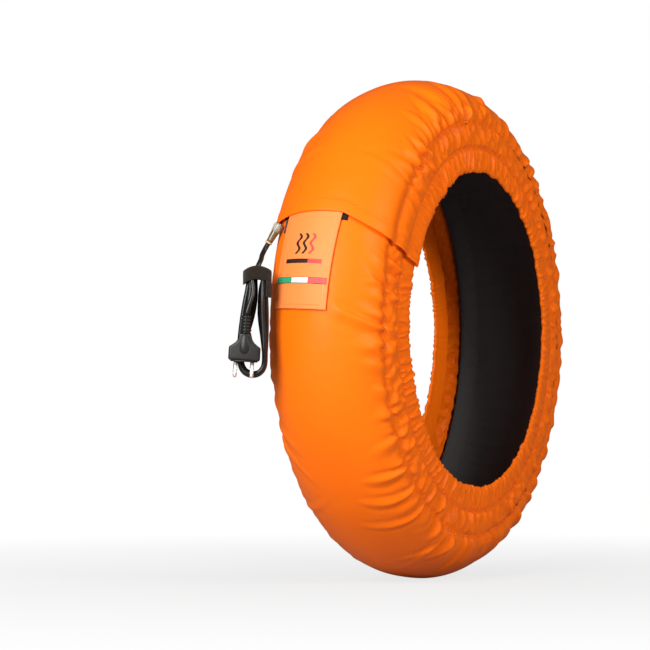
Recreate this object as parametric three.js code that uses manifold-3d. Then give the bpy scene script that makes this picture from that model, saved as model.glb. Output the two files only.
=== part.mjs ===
import * as THREE from "three";
import { mergeVertices } from "three/addons/utils/BufferGeometryUtils.js";
import Module from "manifold-3d";

// A heated cover for a motorcycle tyre, closed into the ring that it makes in use.
// The ring's axis is Y. Angles go round it in degrees: 0 at the front (-X), 90 at the top (+Z).
// Lengths are in millimetres.

// The outer band, whose section is half a rounded oval
const crownRadius = 320;
const shoulderRadius = 262.8;
const bandHalfWidth = 78.3;
const ovalPower = 1.061;
const seamHalfWidth = 73;
const shellThickness = 1.5;
const crownStations = [50, 25, 0, -25, -50];
const edgeStation = 74;

// The side skirts and their elastic hems
const hemRadius = 204.5;
const hemHalfWidth = 81.3;
const bulgeHeight = 5.5;
const skirtThickness = 1.1;
const casingWidth = 28;
const casingPinch = 4.3;
const casingClearance = 0.5;
const elasticThickness = 1.2;
const elasticWidth = 20.5;
const elasticRise = 1.2;
const elasticInset = 1.5;
const casingTurn = 1;

// The gathers
const gatherSteps = 84;
const hemScallop = 4;
const hemPuff = 5;
const skirtFold = 4.5;
const shoulderPucker = 4;
const puckerStart = 40;
const puckerRamp = 30;
const pinchShare = 0.3;
const leastFold = 0.35;
const gatherFade = 14;
const skirtSag = 3;

// The overlap at the front, where the upper end lies on the lower one
const flapAngle = 25.3;
const flapSeamAngle = { left: 25, right: 22 };
const flapHemAngle = { left: 24, right: 20.7 };
const flapStraightHalf = 30;
const lowerEndAngle = 405;
const skirtEndAngle = 401;
const flapBlendAngle = 84;
const flapFlatAngle = 46;
const lowerDropStart = 322;
const lowerDropEnd = 366;
const lowerDrop = 1.4;
const flapHemWidth = 18;
const flapHemRise = 0.8;

// The layers inside
const clearance = 0.3;
const padClearance = 0.75;
const padThickness = 11;
const padStart = 52;
const padEnd = 403;
const padSteps = 32;
const heaterThickness = 2;
const heaterWidth = 6;
const heaterHalfSpan = 45;
const linerThickness = 1;
const linerStart = 46.5;
const linerEnd = 404;
const linerFootDrop = 30.6;

// The closure: hook and loop under the flap, and the tab that hangs from it
const hookThickness = 1.2;
const tabThickness = 2;
const tabWidth = 74;
const tabLength = 122;
const tabTuck = 9;
const tabTopOffset = 7.3;
const tabTilt = 3;
const baseLow = 22.9;
const baseHigh = 40;
const baseLeft = 53;
const baseRight = -37;
const hookLow = 29.5;
const hookHigh = 39;
const hookHalfWidth = 43;
const tabHookWidth = 56;
const tabHookLength = 44;
const tabHookDrop = 70;
const ribbonHeight = 7.8;
const ribbonThickness = 0.5;
const ribbonDrop = 83.5;
const ribbonMargin = 3.2;

// The supply: a flat lead under the flap, a thermostat, and the boot that the cord leaves through
const supplyWidth = 6;
const supplyAcross = 50;
const supplyStart = 25;
const supplyEnd = 46;
const thermostatLength = 17;
const thermostatWidth = 9;
const thermostatHeight = 6;
const thermostatAngle = 49.2;
const bootAngle = 24;
const bootAcross = 56.5;
const bootLean = new THREE.Vector3(-0.2524, 0.4496, -0.8568);
const bootLength = 25.3;
const bootTopRadius = 5;
const bootFootRadius = 3.9;
const bootTaper = 0.7;
const sleeveTopRadius = 6.6;
const sleeveFootRadius = 5.7;
const sleeveLength = 11;
const sleeveBulge = 4;
const sleeveEnd = 0.5;
const ringLength = 2;
const ringRadius = 4.6;

// The cord: a lead, a hank held by a tie, and a tail that ends in the plug
const cordDiameter = 6;
const cordStep = 3.2;
const leadStart = 7;
const leadFirstBend = new THREE.Vector3(-18, 8, -17.5);
const leadSecondBend = new THREE.Vector3(9.5, 7, 10.3);
const entryRun = 4;
const hankTurn = -64.4;
const hankStandoff = 14.5;
const hankAcross = 68.5;
const hankRise = 5;
const hankEntry = new THREE.Vector2(9, 1);
const hankWidth = 46;
const hankHeight = 135;
const hankDepth = 32;
const hankBevel = 8;
const tieHeight = 17;
const tieThickness = 2;
const tieTailLength = 13;
const tieTailLean = 0.12;
const tieTailForward = 2;
const tieTop = 69.5;
const plugAcross = -6;
const tailClearance = 4.3;
const tailBends = [[0, 3.4, 52.2], [-1, 1.6, 40], [-4.6, 0, 27]];
const reliefTop = 15;
const reliefLength = 21;
const reliefRadius = 6.2;
const reliefRibs = 4;
const reliefGroove = 1.4;
const reliefTaper = 0.25;
const plugWidth = 37;
const plugHeight = 33;
const plugDepth = 14;
const plugNeckWidth = 13;
const plugShoulder = 19;
const plugCorner = 1.5;
const plugBevel = 2.5;
const pinDiameter = 4.8;
const pinLength = 19;
const pinSpacing = 20;
const pinTip = 1.5;
const pinTipShare = 0.6;

const wasm = await Module();
wasm.setup();

const degree = Math.PI / 180;
const warmer = new THREE.Group();

function finish(color, roughness, metalness = 0) {
  return new THREE.MeshStandardMaterial({ color, roughness, metalness });
}
const orangeNylon = finish(0xff7a20, 0.6);
const blackCloth = finish(0x1a1a1c, 0.85);
const blackPlastic = finish(0x151412, 0.5);
const nickel = finish(0xd8d4cc, 0.3, 1);

function addPiece(name, geometry, material, parent = warmer) {
  const mesh = new THREE.Mesh(geometry, material);
  mesh.name = name;
  parent.add(mesh);
  return mesh;
}

// A closed solid through equal loops of points, capped at both ends.
// capShape gives the flat outline by which the two ends are filled. The first half of a loop is
// one face of the cloth and the second half the other, so their quads are split along the same line.
function loft(loops, capShape) {
  const count = loops[0].length;
  const positions = loops.flat().flatMap((p) => [p.x, p.y, p.z]);
  const faces = [];
  for (let i = 0; i + 1 < loops.length; i++) {
    for (let j = 0; j < count; j++) {
      const a = i * count + j;
      const b = i * count + ((j + 1) % count);
      const [c, d] = [b + count, a + count];
      faces.push(...(j < count / 2 ? [[a, b, c], [a, c, d]] : [[a, b, d], [b, c, d]]));
    }
  }
  const last = (loops.length - 1) * count;
  const withOutline = Math.sign(THREE.ShapeUtils.area(capShape));
  for (const corners of THREE.ShapeUtils.triangulateShape(capShape, [])) {
    const turn = Math.sign(THREE.ShapeUtils.area(corners.map((k) => capShape[k])));
    const [a, b, c] = turn === withOutline ? corners : corners.toReversed();
    faces.push([a, c, b], [last + a, last + b, last + c]);
  }
  const geometry = new THREE.BufferGeometry();
  geometry.setAttribute("position", new THREE.Float32BufferAttribute(positions, 3));
  const outward = signedVolume(positions, faces) > 0;
  geometry.setIndex(faces.flatMap(([a, b, c]) => (outward ? [a, b, c] : [a, c, b])));
  geometry.computeVertexNormals();
  return geometry;
}

function signedVolume(positions, faces) {
  const corner = (k) => new THREE.Vector3(...positions.slice(3 * k, 3 * k + 3));
  let sum = 0;
  for (const [a, b, c] of faces) {
    sum += corner(a).dot(corner(b).cross(corner(c))) / 6;
  }
  return sum;
}

function toSolid(geometry) {
  const bare = geometry.clone();
  bare.deleteAttribute("normal");
  bare.deleteAttribute("uv");
  const merged = mergeVertices(bare, 1e-3);
  return new wasm.Manifold(
    new wasm.Mesh({
      numProp: 3,
      vertProperties: merged.attributes.position.array,
      triVerts: new Uint32Array(merged.index.array),
    }),
  );
}

function fromSolid(solid) {
  const mesh = solid.getMesh();
  const geometry = new THREE.BufferGeometry();
  geometry.setAttribute("position", new THREE.BufferAttribute(mesh.vertProperties, 3));
  geometry.setIndex(new THREE.BufferAttribute(mesh.triVerts, 1));
  geometry.computeVertexNormals();
  return geometry;
}

// The ring: a point at a radius, a place along the axis and an angle
function ringPoint(radius, across, angle) {
  const turn = angle * degree;
  return new THREE.Vector3(-radius * Math.cos(turn), across, radius * Math.sin(turn));
}

// How far a layer is lifted off the ring at an angle, so that the upper end lies on the lower
const flapLift = 3 * clearance + hookThickness + tabThickness + shellThickness - lowerDrop;
function liftAt(angle) {
  const upper = 1 - THREE.MathUtils.smoothstep(angle, flapFlatAngle, flapBlendAngle);
  const lower = THREE.MathUtils.smoothstep(angle, lowerDropStart, lowerDropEnd);
  return flapLift * upper - lowerDrop * lower;
}

// The band's section is a polygon. A corner's station is 0 on the crown and 90 at the shoulder,
// and its slope is the way that faces out there.
function cornerAt(station) {
  const c = Math.cos(station * degree);
  const s = Math.sin(station * degree);
  const rise = crownRadius - shoulderRadius;
  return {
    station,
    radius: shoulderRadius + rise * c ** ovalPower,
    across: bandHalfWidth * Math.sign(s) * Math.abs(s) ** ovalPower,
    slope: new THREE.Vector2(c / rise, s / bandHalfWidth).normalize(),
  };
}

function seamCorner(side) {
  return {
    station: side * Infinity,
    radius: shoulderRadius,
    across: side * seamHalfWidth,
    slope: new THREE.Vector2(0, side),
  };
}
const crownCorners = crownStations.map(cornerAt);
const [leftEdge, rightEdge] = [edgeStation, -edgeStation].map(cornerAt);
const bandCorners = [seamCorner(1), leftEdge, ...crownCorners, rightEdge, seamCorner(-1)];

function raised({ radius, across, slope }, height, angle) {
  return ringPoint(radius + height * slope.x, across + height * slope.y, angle);
}

// A point of the polygon between two corners, by its place across the band
function onBand(across, height, angle) {
  const reached = crownCorners.filter((corner) => corner.across > across).length;
  const next = THREE.MathUtils.clamp(reached, 1, crownCorners.length - 1);
  const [a, b] = [crownCorners[next - 1], crownCorners[next]];
  const share = (across - a.across) / (b.across - a.across);
  return raised(a, height, angle).lerp(raised(b, height, angle), share);
}

// Irregular gathers: a steady number from 0 to 1 for each step, and folds that alternate
function ruffle(step, row) {
  const wave = Math.sin(step * 12.9898 + row * 78.233) * 43758.5453;
  return wave - Math.floor(wave);
}

function foldAt(step, row) {
  return (step % 2 ? 1 : -leastFold) * THREE.MathUtils.lerp(leastFold, 1, ruffle(step, row));
}

// Gathers fade out on the flap and where the lower end goes under it
function gatherShare(angle) {
  const upper = THREE.MathUtils.smoothstep(angle, flapFlatAngle, flapFlatAngle + gatherFade);
  const lower = 1 - THREE.MathUtils.smoothstep(angle, lowerDropEnd, lowerDropEnd + gatherFade);
  return upper * lower;
}

function flapEdgeAt(across) {
  const share = (Math.abs(across) - flapStraightHalf) / (seamHalfWidth - flapStraightHalf);
  const seamAngle = across > 0 ? flapSeamAngle.left : flapSeamAngle.right;
  return THREE.MathUtils.lerp(flapAngle, seamAngle, THREE.MathUtils.clamp(share, 0, 1));
}

// The tread panel: one strip of coated cloth, with the turned hem along the flap's edge
function treadLoop(step, steps) {
  const hemAngle = flapHemWidth / crownRadius / degree;
  const atStep = ({ across, station }) => {
    const edge = flapEdgeAt(across);
    const angle = THREE.MathUtils.lerp(edge, lowerEndAngle, step / steps);
    const beside = THREE.MathUtils.clamp((Math.abs(station) - puckerStart) / puckerRamp, 0, 1);
    const nearSeam = Number.isFinite(station) ? beside : 0;
    const pucker =
      shoulderPucker * nearSeam * gatherShare(angle) * foldAt(step, Math.sign(station));
    return { angle, pucker, hem: angle < edge + hemAngle ? flapHemRise : 0 };
  };
  const outer = bandCorners.map((corner) => {
    const { angle, pucker, hem } = atStep(corner);
    return raised(corner, liftAt(angle) + pucker + hem, angle);
  });
  const inner = bandCorners.map((corner) => {
    const { angle, pucker } = atStep(corner);
    return raised(corner, liftAt(angle) + pucker - shellThickness, angle);
  });
  return [...outer, ...inner.reverse()];
}

// The outline of a loop in its own plane, by which its two ends are filled
function flatOutline(loop) {
  return loop.map((p) => new THREE.Vector2(Math.hypot(p.x, p.z), p.y));
}

function loftRing(loopAt, steps) {
  const loops = [];
  for (let step = 0; step <= steps; step++) loops.push(loopAt(step, steps));
  return loft(loops, flatOutline(loops[0]));
}

addPiece("tread_panel", loftRing(treadLoop, gatherSteps), orangeNylon);

// The side skirts: gathered strips, turned in at the hem to make a casing for the elastic
const casingGap = elasticThickness + 2 * casingClearance;
const casingRadius = hemRadius + casingWidth;
const bulgeRadius = (shoulderRadius + casingRadius) / 2;
const bulgeHalfWidth = seamHalfWidth + bulgeHeight;
const pinchHalfWidth = hemHalfWidth - casingPinch;

function depthShare(radius) {
  return (shoulderRadius - radius) / (shoulderRadius - hemRadius);
}

function skirtLoop(side, word, step, steps) {
  const share = step / steps;
  const loop = [];
  const place = (radius, halfWidth, scallop = 0) => {
    const start = THREE.MathUtils.lerp(flapSeamAngle[word], flapHemAngle[word], depthShare(radius));
    const end = THREE.MathUtils.lerp(lowerEndAngle, skirtEndAngle, depthShare(radius));
    const angle = THREE.MathUtils.lerp(start, end, share);
    const drop = skirtSag * depthShare(radius) * Math.max(0, Math.sin(angle * degree));
    const reach = radius - drop - scallop * gatherShare(angle);
    loop.push(ringPoint(reach, side * (halfWidth + liftAt(angle)), angle));
  };
  const angleHere = THREE.MathUtils.lerp(flapHemAngle[word], skirtEndAngle, share);
  const gather = gatherShare(angleHere);
  const bulge = skirtFold * gather * foldAt(step, side * 2);
  const pinch = Math.max(0, pinchShare * bulge);
  const puff = hemPuff * gather * Math.max(0, foldAt(step, side * 3));
  const scallop = hemScallop * Math.max(0, foldAt(step, side * 4));
  const top = shoulderRadius - clearance;
  const inside = skirtThickness + casingGap;
  place(top, seamHalfWidth);
  place(bulgeRadius, bulgeHalfWidth + bulge);
  place(casingRadius, pinchHalfWidth + pinch);
  place(hemRadius, hemHalfWidth + puff, scallop);
  place(hemRadius, hemHalfWidth - inside - skirtThickness, scallop);
  place(casingRadius - casingTurn, pinchHalfWidth - inside - skirtThickness);
  place(casingRadius - casingTurn, pinchHalfWidth - inside);
  place(hemRadius + skirtThickness, hemHalfWidth - inside, scallop);
  place(hemRadius + skirtThickness, hemHalfWidth + puff - skirtThickness, scallop);
  place(casingRadius, pinchHalfWidth + pinch - skirtThickness);
  place(bulgeRadius, bulgeHalfWidth + bulge - skirtThickness);
  place(top, seamHalfWidth - skirtThickness);
  return loop;
}

// The elastic: a flat band inside the casing, following its slope
const elasticLow = hemRadius + skirtThickness + elasticRise;
const elasticHigh = elasticLow + elasticWidth;

function elasticLoop(side, word, step, steps) {
  const start = flapHemAngle[word] + elasticInset;
  const end = skirtEndAngle - elasticInset;
  const angle = THREE.MathUtils.lerp(start, end, step / steps);
  const sagAt = (radius) => skirtSag * depthShare(radius) * Math.max(0, Math.sin(angle * degree));
  const slopeAt = (radius) => {
    const share = (radius - hemRadius) / casingWidth;
    return THREE.MathUtils.lerp(hemHalfWidth, pinchHalfWidth, share) - skirtThickness - casingClearance;
  };
  return [
    [elasticLow, 0],
    [elasticHigh, 0],
    [elasticHigh, elasticThickness],
    [elasticLow, elasticThickness],
  ].map(([radius, depth]) =>
    ringPoint(radius - sagAt(radius), side * (slopeAt(radius) - depth + liftAt(angle)), angle),
  );
}

for (const [side, word] of [[1, "left"], [-1, "right"]]) {
  const skirt = loftRing((step, steps) => skirtLoop(side, word, step, steps), gatherSteps);
  addPiece("side_skirt_" + word, skirt, orangeNylon);
  const elasticSteps = gatherSteps / 2;
  const elastic = loftRing((step, steps) => elasticLoop(side, word, step, steps), elasticSteps);
  addPiece("hem_elastic_" + word, elastic, blackCloth);
}

// The insulation pad: wadding between the tread panel and the heater
const padTop = shellThickness + padClearance;
const padFoot = padTop + padThickness;
const heaterTop = padFoot + 2 * clearance;
const heaterFoot = heaterTop + heaterThickness;
const linerTop = heaterFoot + 2 * clearance;
const linerFoot = linerTop + linerThickness;
const padAngle = (step) => THREE.MathUtils.lerp(padStart, padEnd, step / padSteps);

function padLoop(step) {
  const angle = padAngle(step);
  const lift = liftAt(angle);
  return [
    ...crownCorners.map((corner) => raised(corner, lift - padTop, angle)),
    ...crownCorners.toReversed().map((corner) => raised(corner, lift - padFoot, angle)),
  ];
}
addPiece("insulation_pad", loftRing(padLoop, padSteps), finish(0xe8e4d8, 0.95));

// The heating element: a flat cable that crosses the band again and again
function heaterRoute() {
  const bend = crownCorners[1].across;
  const route = [];
  for (let run = 0; 2 * run + 1 < padSteps; run++) {
    const direction = run % 2 ? -1 : 1;
    for (const across of [-heaterHalfSpan, -bend, 0, bend, heaterHalfSpan]) {
      route.push({ across: direction * across, angle: padAngle(2 * run + 1) });
    }
    if (2 * run + 3 < padSteps) {
      route.push({ across: direction * heaterHalfSpan, angle: padAngle(2 * run + 2) });
    }
  }
  return route;
}

function heaterGeometry() {
  const route = heaterRoute();
  const place = ({ across, angle }, height) => onBand(across, liftAt(angle) - height, angle);
  const loops = route.map((here, k) => {
    const before = place(route[Math.max(0, k - 1)], heaterTop);
    const after = place(route[Math.min(route.length - 1, k + 1)], heaterTop);
    const forward = after.sub(before).normalize();
    const top = place(here, heaterTop);
    const foot = place(here, heaterFoot);
    const out = top.clone().sub(foot);
    const sideways = forward.cross(out).normalize().multiplyScalar(heaterWidth / 2);
    return [
      top.clone().add(sideways),
      top.clone().sub(sideways),
      foot.clone().sub(sideways),
      foot.clone().add(sideways),
    ];
  });
  const square = [[0, 0], [0, 1], [1, 1], [1, 0]].map(([x, y]) => new THREE.Vector2(x, y));
  return loft(loops, square);
}
addPiece("heating_element", heaterGeometry(), finish(0x8a2f1c, 0.6));

// The inner liner: the heat-proof cloth that touches the tyre, sewn in at both shoulders
function linerLoop(step) {
  const ends = { 0: linerStart, [padSteps]: linerEnd };
  const angle = ends[step] ?? padAngle(step);
  const lift = liftAt(angle);
  const footHalf = seamHalfWidth - shellThickness - padClearance;
  const footRadius = crownCorners[0].radius - linerFootDrop;
  const foot = (side, depth) => ringPoint(footRadius, side * (footHalf - depth + lift), angle);
  return [
    foot(1, 0),
    ...crownCorners.map((corner) => raised(corner, lift - linerTop, angle)),
    foot(-1, 0),
    foot(-1, linerThickness),
    ...crownCorners.toReversed().map((corner) => raised(corner, lift - linerFoot, angle)),
    foot(1, linerThickness),
  ];
}
addPiece("inner_liner", loftRing(linerLoop, padSteps), blackCloth);

// A patch that follows the band. edgesAt gives its two edges at a share of its length, from the
// left one to the right, and angleAt the angle there. It bends at the band's corners between them.
function patch(edgesAt, angleAt, top, foot, alongSteps) {
  const bends = crownCorners
    .map((corner) => corner.across)
    .filter((bend) => [0, 1].every((end) => edgesAt(end)[0] > bend && edgesAt(end)[1] < bend));
  const loops = [];
  for (let i = 0; i <= alongSteps; i++) {
    const along = i / alongSteps;
    const [left, right] = edgesAt(along);
    const row = (height) =>
      [left, ...bends, right].map((across) => onBand(across, height, angleAt(across, along)));
    loops.push([...row(top), ...row(foot).reverse()]);
  }
  return loft(loops, flatOutline(loops[0]));
}

function straightPatch(left, right, low, high, top, foot, alongSteps) {
  const angleAt = (across, along) => THREE.MathUtils.lerp(low, high, along);
  return patch(() => [left, right], angleAt, top, foot, alongSteps);
}

// Heights of the layers at the overlap, above the ring's outer face
const baseFoot = -lowerDrop + clearance;
const baseTop = baseFoot + hookThickness;
const tabFoot = baseTop + clearance;
const tabTop = tabFoot + tabThickness;

addPiece(
  "loop_base",
  straightPatch(baseLeft, baseRight, baseLow, baseHigh, baseTop, baseFoot, 4),
  blackCloth,
);
addPiece(
  "flap_hook_strip",
  straightPatch(hookHalfWidth, -hookHalfWidth, hookLow, hookHigh, tabTop - clearance, tabFoot, 3),
  blackCloth,
);

// The closure tab: a doubled strap that hangs from under the flap's edge, a little askew
function tabPatch(width, from, to, top, foot, alongSteps) {
  const lean = Math.sin(tabTilt * degree);
  const middleAt = (along) => tabTopOffset + lean * THREE.MathUtils.lerp(from, to, along);
  const edgesAt = (along) => [middleAt(along) + width / 2, middleAt(along) - width / 2];
  const angleAt = (across, along) => {
    const down = THREE.MathUtils.lerp(from, to, along) - lean * (across - middleAt(along));
    return flapAngle - down / crownRadius / degree;
  };
  return patch(edgesAt, angleAt, top, foot, alongSteps);
}

addPiece("closure_tab", tabPatch(tabWidth, -tabTuck, tabLength, tabTop, tabFoot, 7), orangeNylon);
addPiece(
  "tab_hook",
  tabPatch(tabHookWidth, tabHookDrop, tabHookDrop + tabHookLength, baseTop, baseFoot, 3),
  blackCloth,
);
const ribbonWidth = tabWidth - 2 * ribbonMargin;
const ribbonFoot = tabTop + clearance;
const ribbonTop = ribbonFoot + ribbonThickness;
addPiece(
  "woven_ribbon",
  tabPatch(ribbonWidth, ribbonDrop, ribbonDrop + ribbonHeight, ribbonTop, ribbonFoot, 1),
  finish(0xffffff, 0.8),
);

// The supply lead, flat under the flap, and the thermostat at the start of the padding
const supplyLeft = supplyAcross + supplyWidth / 2;
addPiece(
  "supply_lead",
  straightPatch(supplyLeft, supplyLeft - supplyWidth, supplyStart, supplyEnd, tabTop, tabFoot, 5),
  blackPlastic,
);
const thermostat = addPiece(
  "thermostat",
  new THREE.BoxGeometry(thermostatHeight, thermostatLength, thermostatWidth),
  finish(0x9a9a98, 0.4, 1),
);
const thermostatRadius =
  crownRadius + liftAt(thermostatAngle) - padTop - thermostatHeight / 2 - 2 * padClearance;
thermostat.position.copy(ringPoint(thermostatRadius, 0, thermostatAngle));
thermostat.rotation.y = thermostatAngle * degree;

// A turned piece: a profile of radius and height, from its foot up, stood on a line in space
function turned(profile, foot, top, sides) {
  const points = profile.map(([radius, height]) => new THREE.Vector2(radius, height));
  const geometry = new THREE.LatheGeometry(points, sides);
  const axis = top.clone().sub(foot).normalize();
  const turn = new THREE.Quaternion().setFromUnitVectors(new THREE.Vector3(0, 1, 0), axis);
  geometry.applyQuaternion(turn);
  geometry.translate(foot.x, foot.y, foot.z);
  return geometry;
}

// The boot, its clear outer sleeve and the ring at its mouth
const bootTop = onBand(bootAcross, sleeveTopRadius + clearance - lowerDrop, bootAngle);
const bootFoot = bootTop.clone().addScaledVector(bootLean, bootLength);
addPiece(
  "cable_boot",
  turned(
    [
      [0, 0],
      [bootFootRadius, 0],
      [bootTopRadius, bootLength * bootTaper],
      [bootTopRadius, bootLength],
      [0, bootLength],
    ],
    bootFoot,
    bootTop,
    12,
  ),
  finish(0x4a3a1c, 0.45),
);
const sleeveBore = bootTopRadius + clearance;
addPiece(
  "clear_sleeve",
  turned(
    [
      [sleeveBore, bootLength - sleeveLength],
      [sleeveFootRadius, bootLength - sleeveLength],
      [sleeveTopRadius, bootLength - sleeveBulge],
      [sleeveTopRadius, bootLength - sleeveEnd],
      [sleeveBore, bootLength - sleeveEnd],
      [sleeveBore, bootLength - sleeveLength],
    ],
    bootFoot,
    bootTop,
    12,
  ),
  finish(0xd9d4c8, 0.15),
);
const ringTop = -clearance;
addPiece(
  "boot_ring",
  turned(
    [
      [0, ringTop - ringLength],
      [ringRadius, ringTop - ringLength],
      [ringRadius, ringTop],
      [0, ringTop],
    ],
    bootFoot,
    bootTop,
    12,
  ),
  finish(0xc9a070, 0.5),
);

// The hank hangs in its own frame: X across it, Y away from its face, Z up
const hank = new THREE.Group();
hank.position.set(-(crownRadius + hankStandoff), hankAcross, 0);
hank.rotation.z = hankTurn * degree;
warmer.add(hank);

// An outline drawn in X and Z, thickened along Y and centred on the plane Y = middle
function slab(outline, depth, bevel, middle, curveSegments = 6) {
  const geometry = new THREE.ExtrudeGeometry(outline, {
    depth: depth - 2 * bevel,
    bevelEnabled: bevel > 0,
    bevelThickness: bevel,
    bevelSize: bevel,
    bevelOffset: -bevel,
    bevelSegments: 1,
    curveSegments,
  });
  geometry.rotateX(Math.PI / 2);
  geometry.translate(0, middle + depth / 2 - bevel, 0);
  return geometry;
}

function stadium(width, height, centreHeight) {
  const radius = width / 2;
  const run = height / 2 - radius;
  const outline = new THREE.Shape();
  outline.absarc(0, centreHeight + run, radius, 0, Math.PI);
  outline.absarc(0, centreHeight - run, radius, Math.PI, 2 * Math.PI);
  return outline;
}
addPiece(
  "cord_hank",
  slab(stadium(hankWidth, hankHeight, hankRise), hankDepth, hankBevel, 0),
  blackPlastic,
  hank,
);

// The tie: a hook-and-loop strap round the top of the hank, with its tail hanging at one side
function roundedBox(halfX, halfY, radius) {
  const outline = new THREE.Shape();
  outline.absarc(halfX - radius, halfY - radius, radius, 0, Math.PI / 2);
  outline.absarc(radius - halfX, halfY - radius, radius, Math.PI / 2, Math.PI);
  outline.absarc(radius - halfX, radius - halfY, radius, Math.PI, 1.5 * Math.PI);
  outline.absarc(halfX - radius, radius - halfY, radius, 1.5 * Math.PI, 2 * Math.PI);
  return outline;
}

function tieGeometry() {
  const innerX = hankWidth / 2 + clearance;
  const innerY = hankDepth / 2 + clearance;
  const wall = roundedBox(innerX + tieThickness, innerY + tieThickness, hankBevel);
  wall.holes.push(roundedBox(innerX, innerY, hankBevel - tieThickness));
  const band = new THREE.ExtrudeGeometry(wall, {
    depth: tieHeight,
    bevelEnabled: false,
    curveSegments: 2,
  });
  band.translate(0, 0, tieTop - tieHeight);
  const tail = new THREE.BoxGeometry(tieThickness, tieHeight, tieTailLength + tieHeight / 2);
  tail.rotateX(tieTailLean);
  tail.translate(
    innerX + tieThickness / 2,
    -tieTailForward,
    tieTop - tieHeight - tieTailLength / 2,
  );
  return fromSolid(toSolid(band).add(toSolid(tail)));
}
addPiece("cord_tie", tieGeometry(), blackCloth, hank);

// A round cord along a chosen route
function cordGeometry(route) {
  const section = new THREE.Shape();
  section.absarc(0, 0, cordDiameter / 2, 0, 2 * Math.PI);
  const curve = new THREE.CatmullRomCurve3(route);
  const steps = Math.max(2, Math.ceil(curve.getLength() / (cordStep * cordDiameter)));
  return new THREE.ExtrudeGeometry(section, {
    steps,
    curveSegments: 8,
    bevelEnabled: false,
    extrudePath: curve,
  });
}

const mouth = bootFoot.clone().addScaledVector(bootLean, ringLength + 2 * clearance);
const hankHead = hankRise + hankHeight / 2 + clearance / 2;
const hankTop = new THREE.Vector3(hankEntry.x, hankEntry.y, hankHead).add(hank.position);
const leadRoute = [
  mouth,
  mouth.clone().addScaledVector(bootLean, leadStart),
  bootFoot.clone().add(leadFirstBend),
  hankTop.clone().add(leadSecondBend),
  hankTop.clone().setZ(hankHead + entryRun),
  hankTop,
];
addPiece("cord_lead", cordGeometry(leadRoute), blackPlastic);

// The tail comes out under the tie, runs down the front of the hank and ends in the plug
const tailPlane = -(hankDepth / 2 + cordDiameter / 2 + tailClearance);
const tailRoute = [
  ...tailBends.map(([across, back, height]) => new THREE.Vector3(across, tailPlane + back, height)),
  new THREE.Vector3(plugAcross, tailPlane, reliefTop + 2 * clearance),
];
addPiece("cord_tail", cordGeometry(tailRoute), blackPlastic, hank);

// The strain relief: a tapered neck with ribs
function reliefProfile() {
  const pitch = reliefLength / reliefRibs;
  const profile = [[0, 0]];
  for (let rib = 0; rib < reliefRibs; rib++) {
    const crest = reliefRadius - rib * reliefTaper;
    const groove = crest - reliefGroove;
    profile.push([crest, rib * pitch], [crest, (rib + 0.6) * pitch]);
    profile.push([groove, (rib + 0.65) * pitch], [groove, (rib + 0.95) * pitch]);
  }
  profile.push([reliefRadius - reliefGroove, reliefLength], [0, reliefLength]);
  return profile;
}
const reliefFoot = new THREE.Vector3(plugAcross, tailPlane, reliefTop - reliefLength);
const reliefHead = new THREE.Vector3(plugAcross, tailPlane, reliefTop);
addPiece("plug_relief", turned(reliefProfile(), reliefFoot, reliefHead, 8), blackPlastic, hank);

// The plug: a flat body that widens to two wings, with two round pins
const plugTop = reliefTop - reliefLength - clearance;
function plugOutline() {
  const half = plugWidth / 2;
  const neck = plugNeckWidth / 2;
  const foot = plugTop - plugHeight;
  const outline = new THREE.Shape();
  outline.moveTo(neck, plugTop);
  outline.lineTo(-neck, plugTop);
  const wing = plugTop - plugShoulder;
  const bend = plugTop - plugShoulder / 2;
  outline.bezierCurveTo(-neck, bend, -half, bend, -half, wing);
  outline.lineTo(-half, foot + plugCorner);
  outline.lineTo(plugCorner - half, foot);
  outline.lineTo(half - plugCorner, foot);
  outline.lineTo(half, foot + plugCorner);
  outline.lineTo(half, wing);
  outline.bezierCurveTo(half, bend, neck, bend, neck, plugTop);
  return outline;
}
const plug = slab(plugOutline(), plugDepth, plugBevel, tailPlane, 5);
plug.translate(plugAcross, 0, 0);
addPiece("plug_body", plug, blackPlastic, hank);

for (const [side, word] of [[-1, "left"], [1, "right"]]) {
  const top = plugTop - plugHeight - clearance;
  const across = plugAcross + (side * pinSpacing) / 2;
  const foot = new THREE.Vector3(across, tailPlane, top - pinLength);
  const head = new THREE.Vector3(across, tailPlane, top);
  const radius = pinDiameter / 2;
  const profile = [
    [0, 0],
    [radius * pinTipShare, 0],
    [radius, pinTip],
    [radius, pinLength],
    [0, pinLength],
  ];
  addPiece("plug_pin_" + word, turned(profile, foot, head, 10), nickel, hank);
}

export default warmer;
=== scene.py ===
import math

import bmesh
import bpy
import numpy as np
from mathutils import Matrix, Vector


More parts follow.
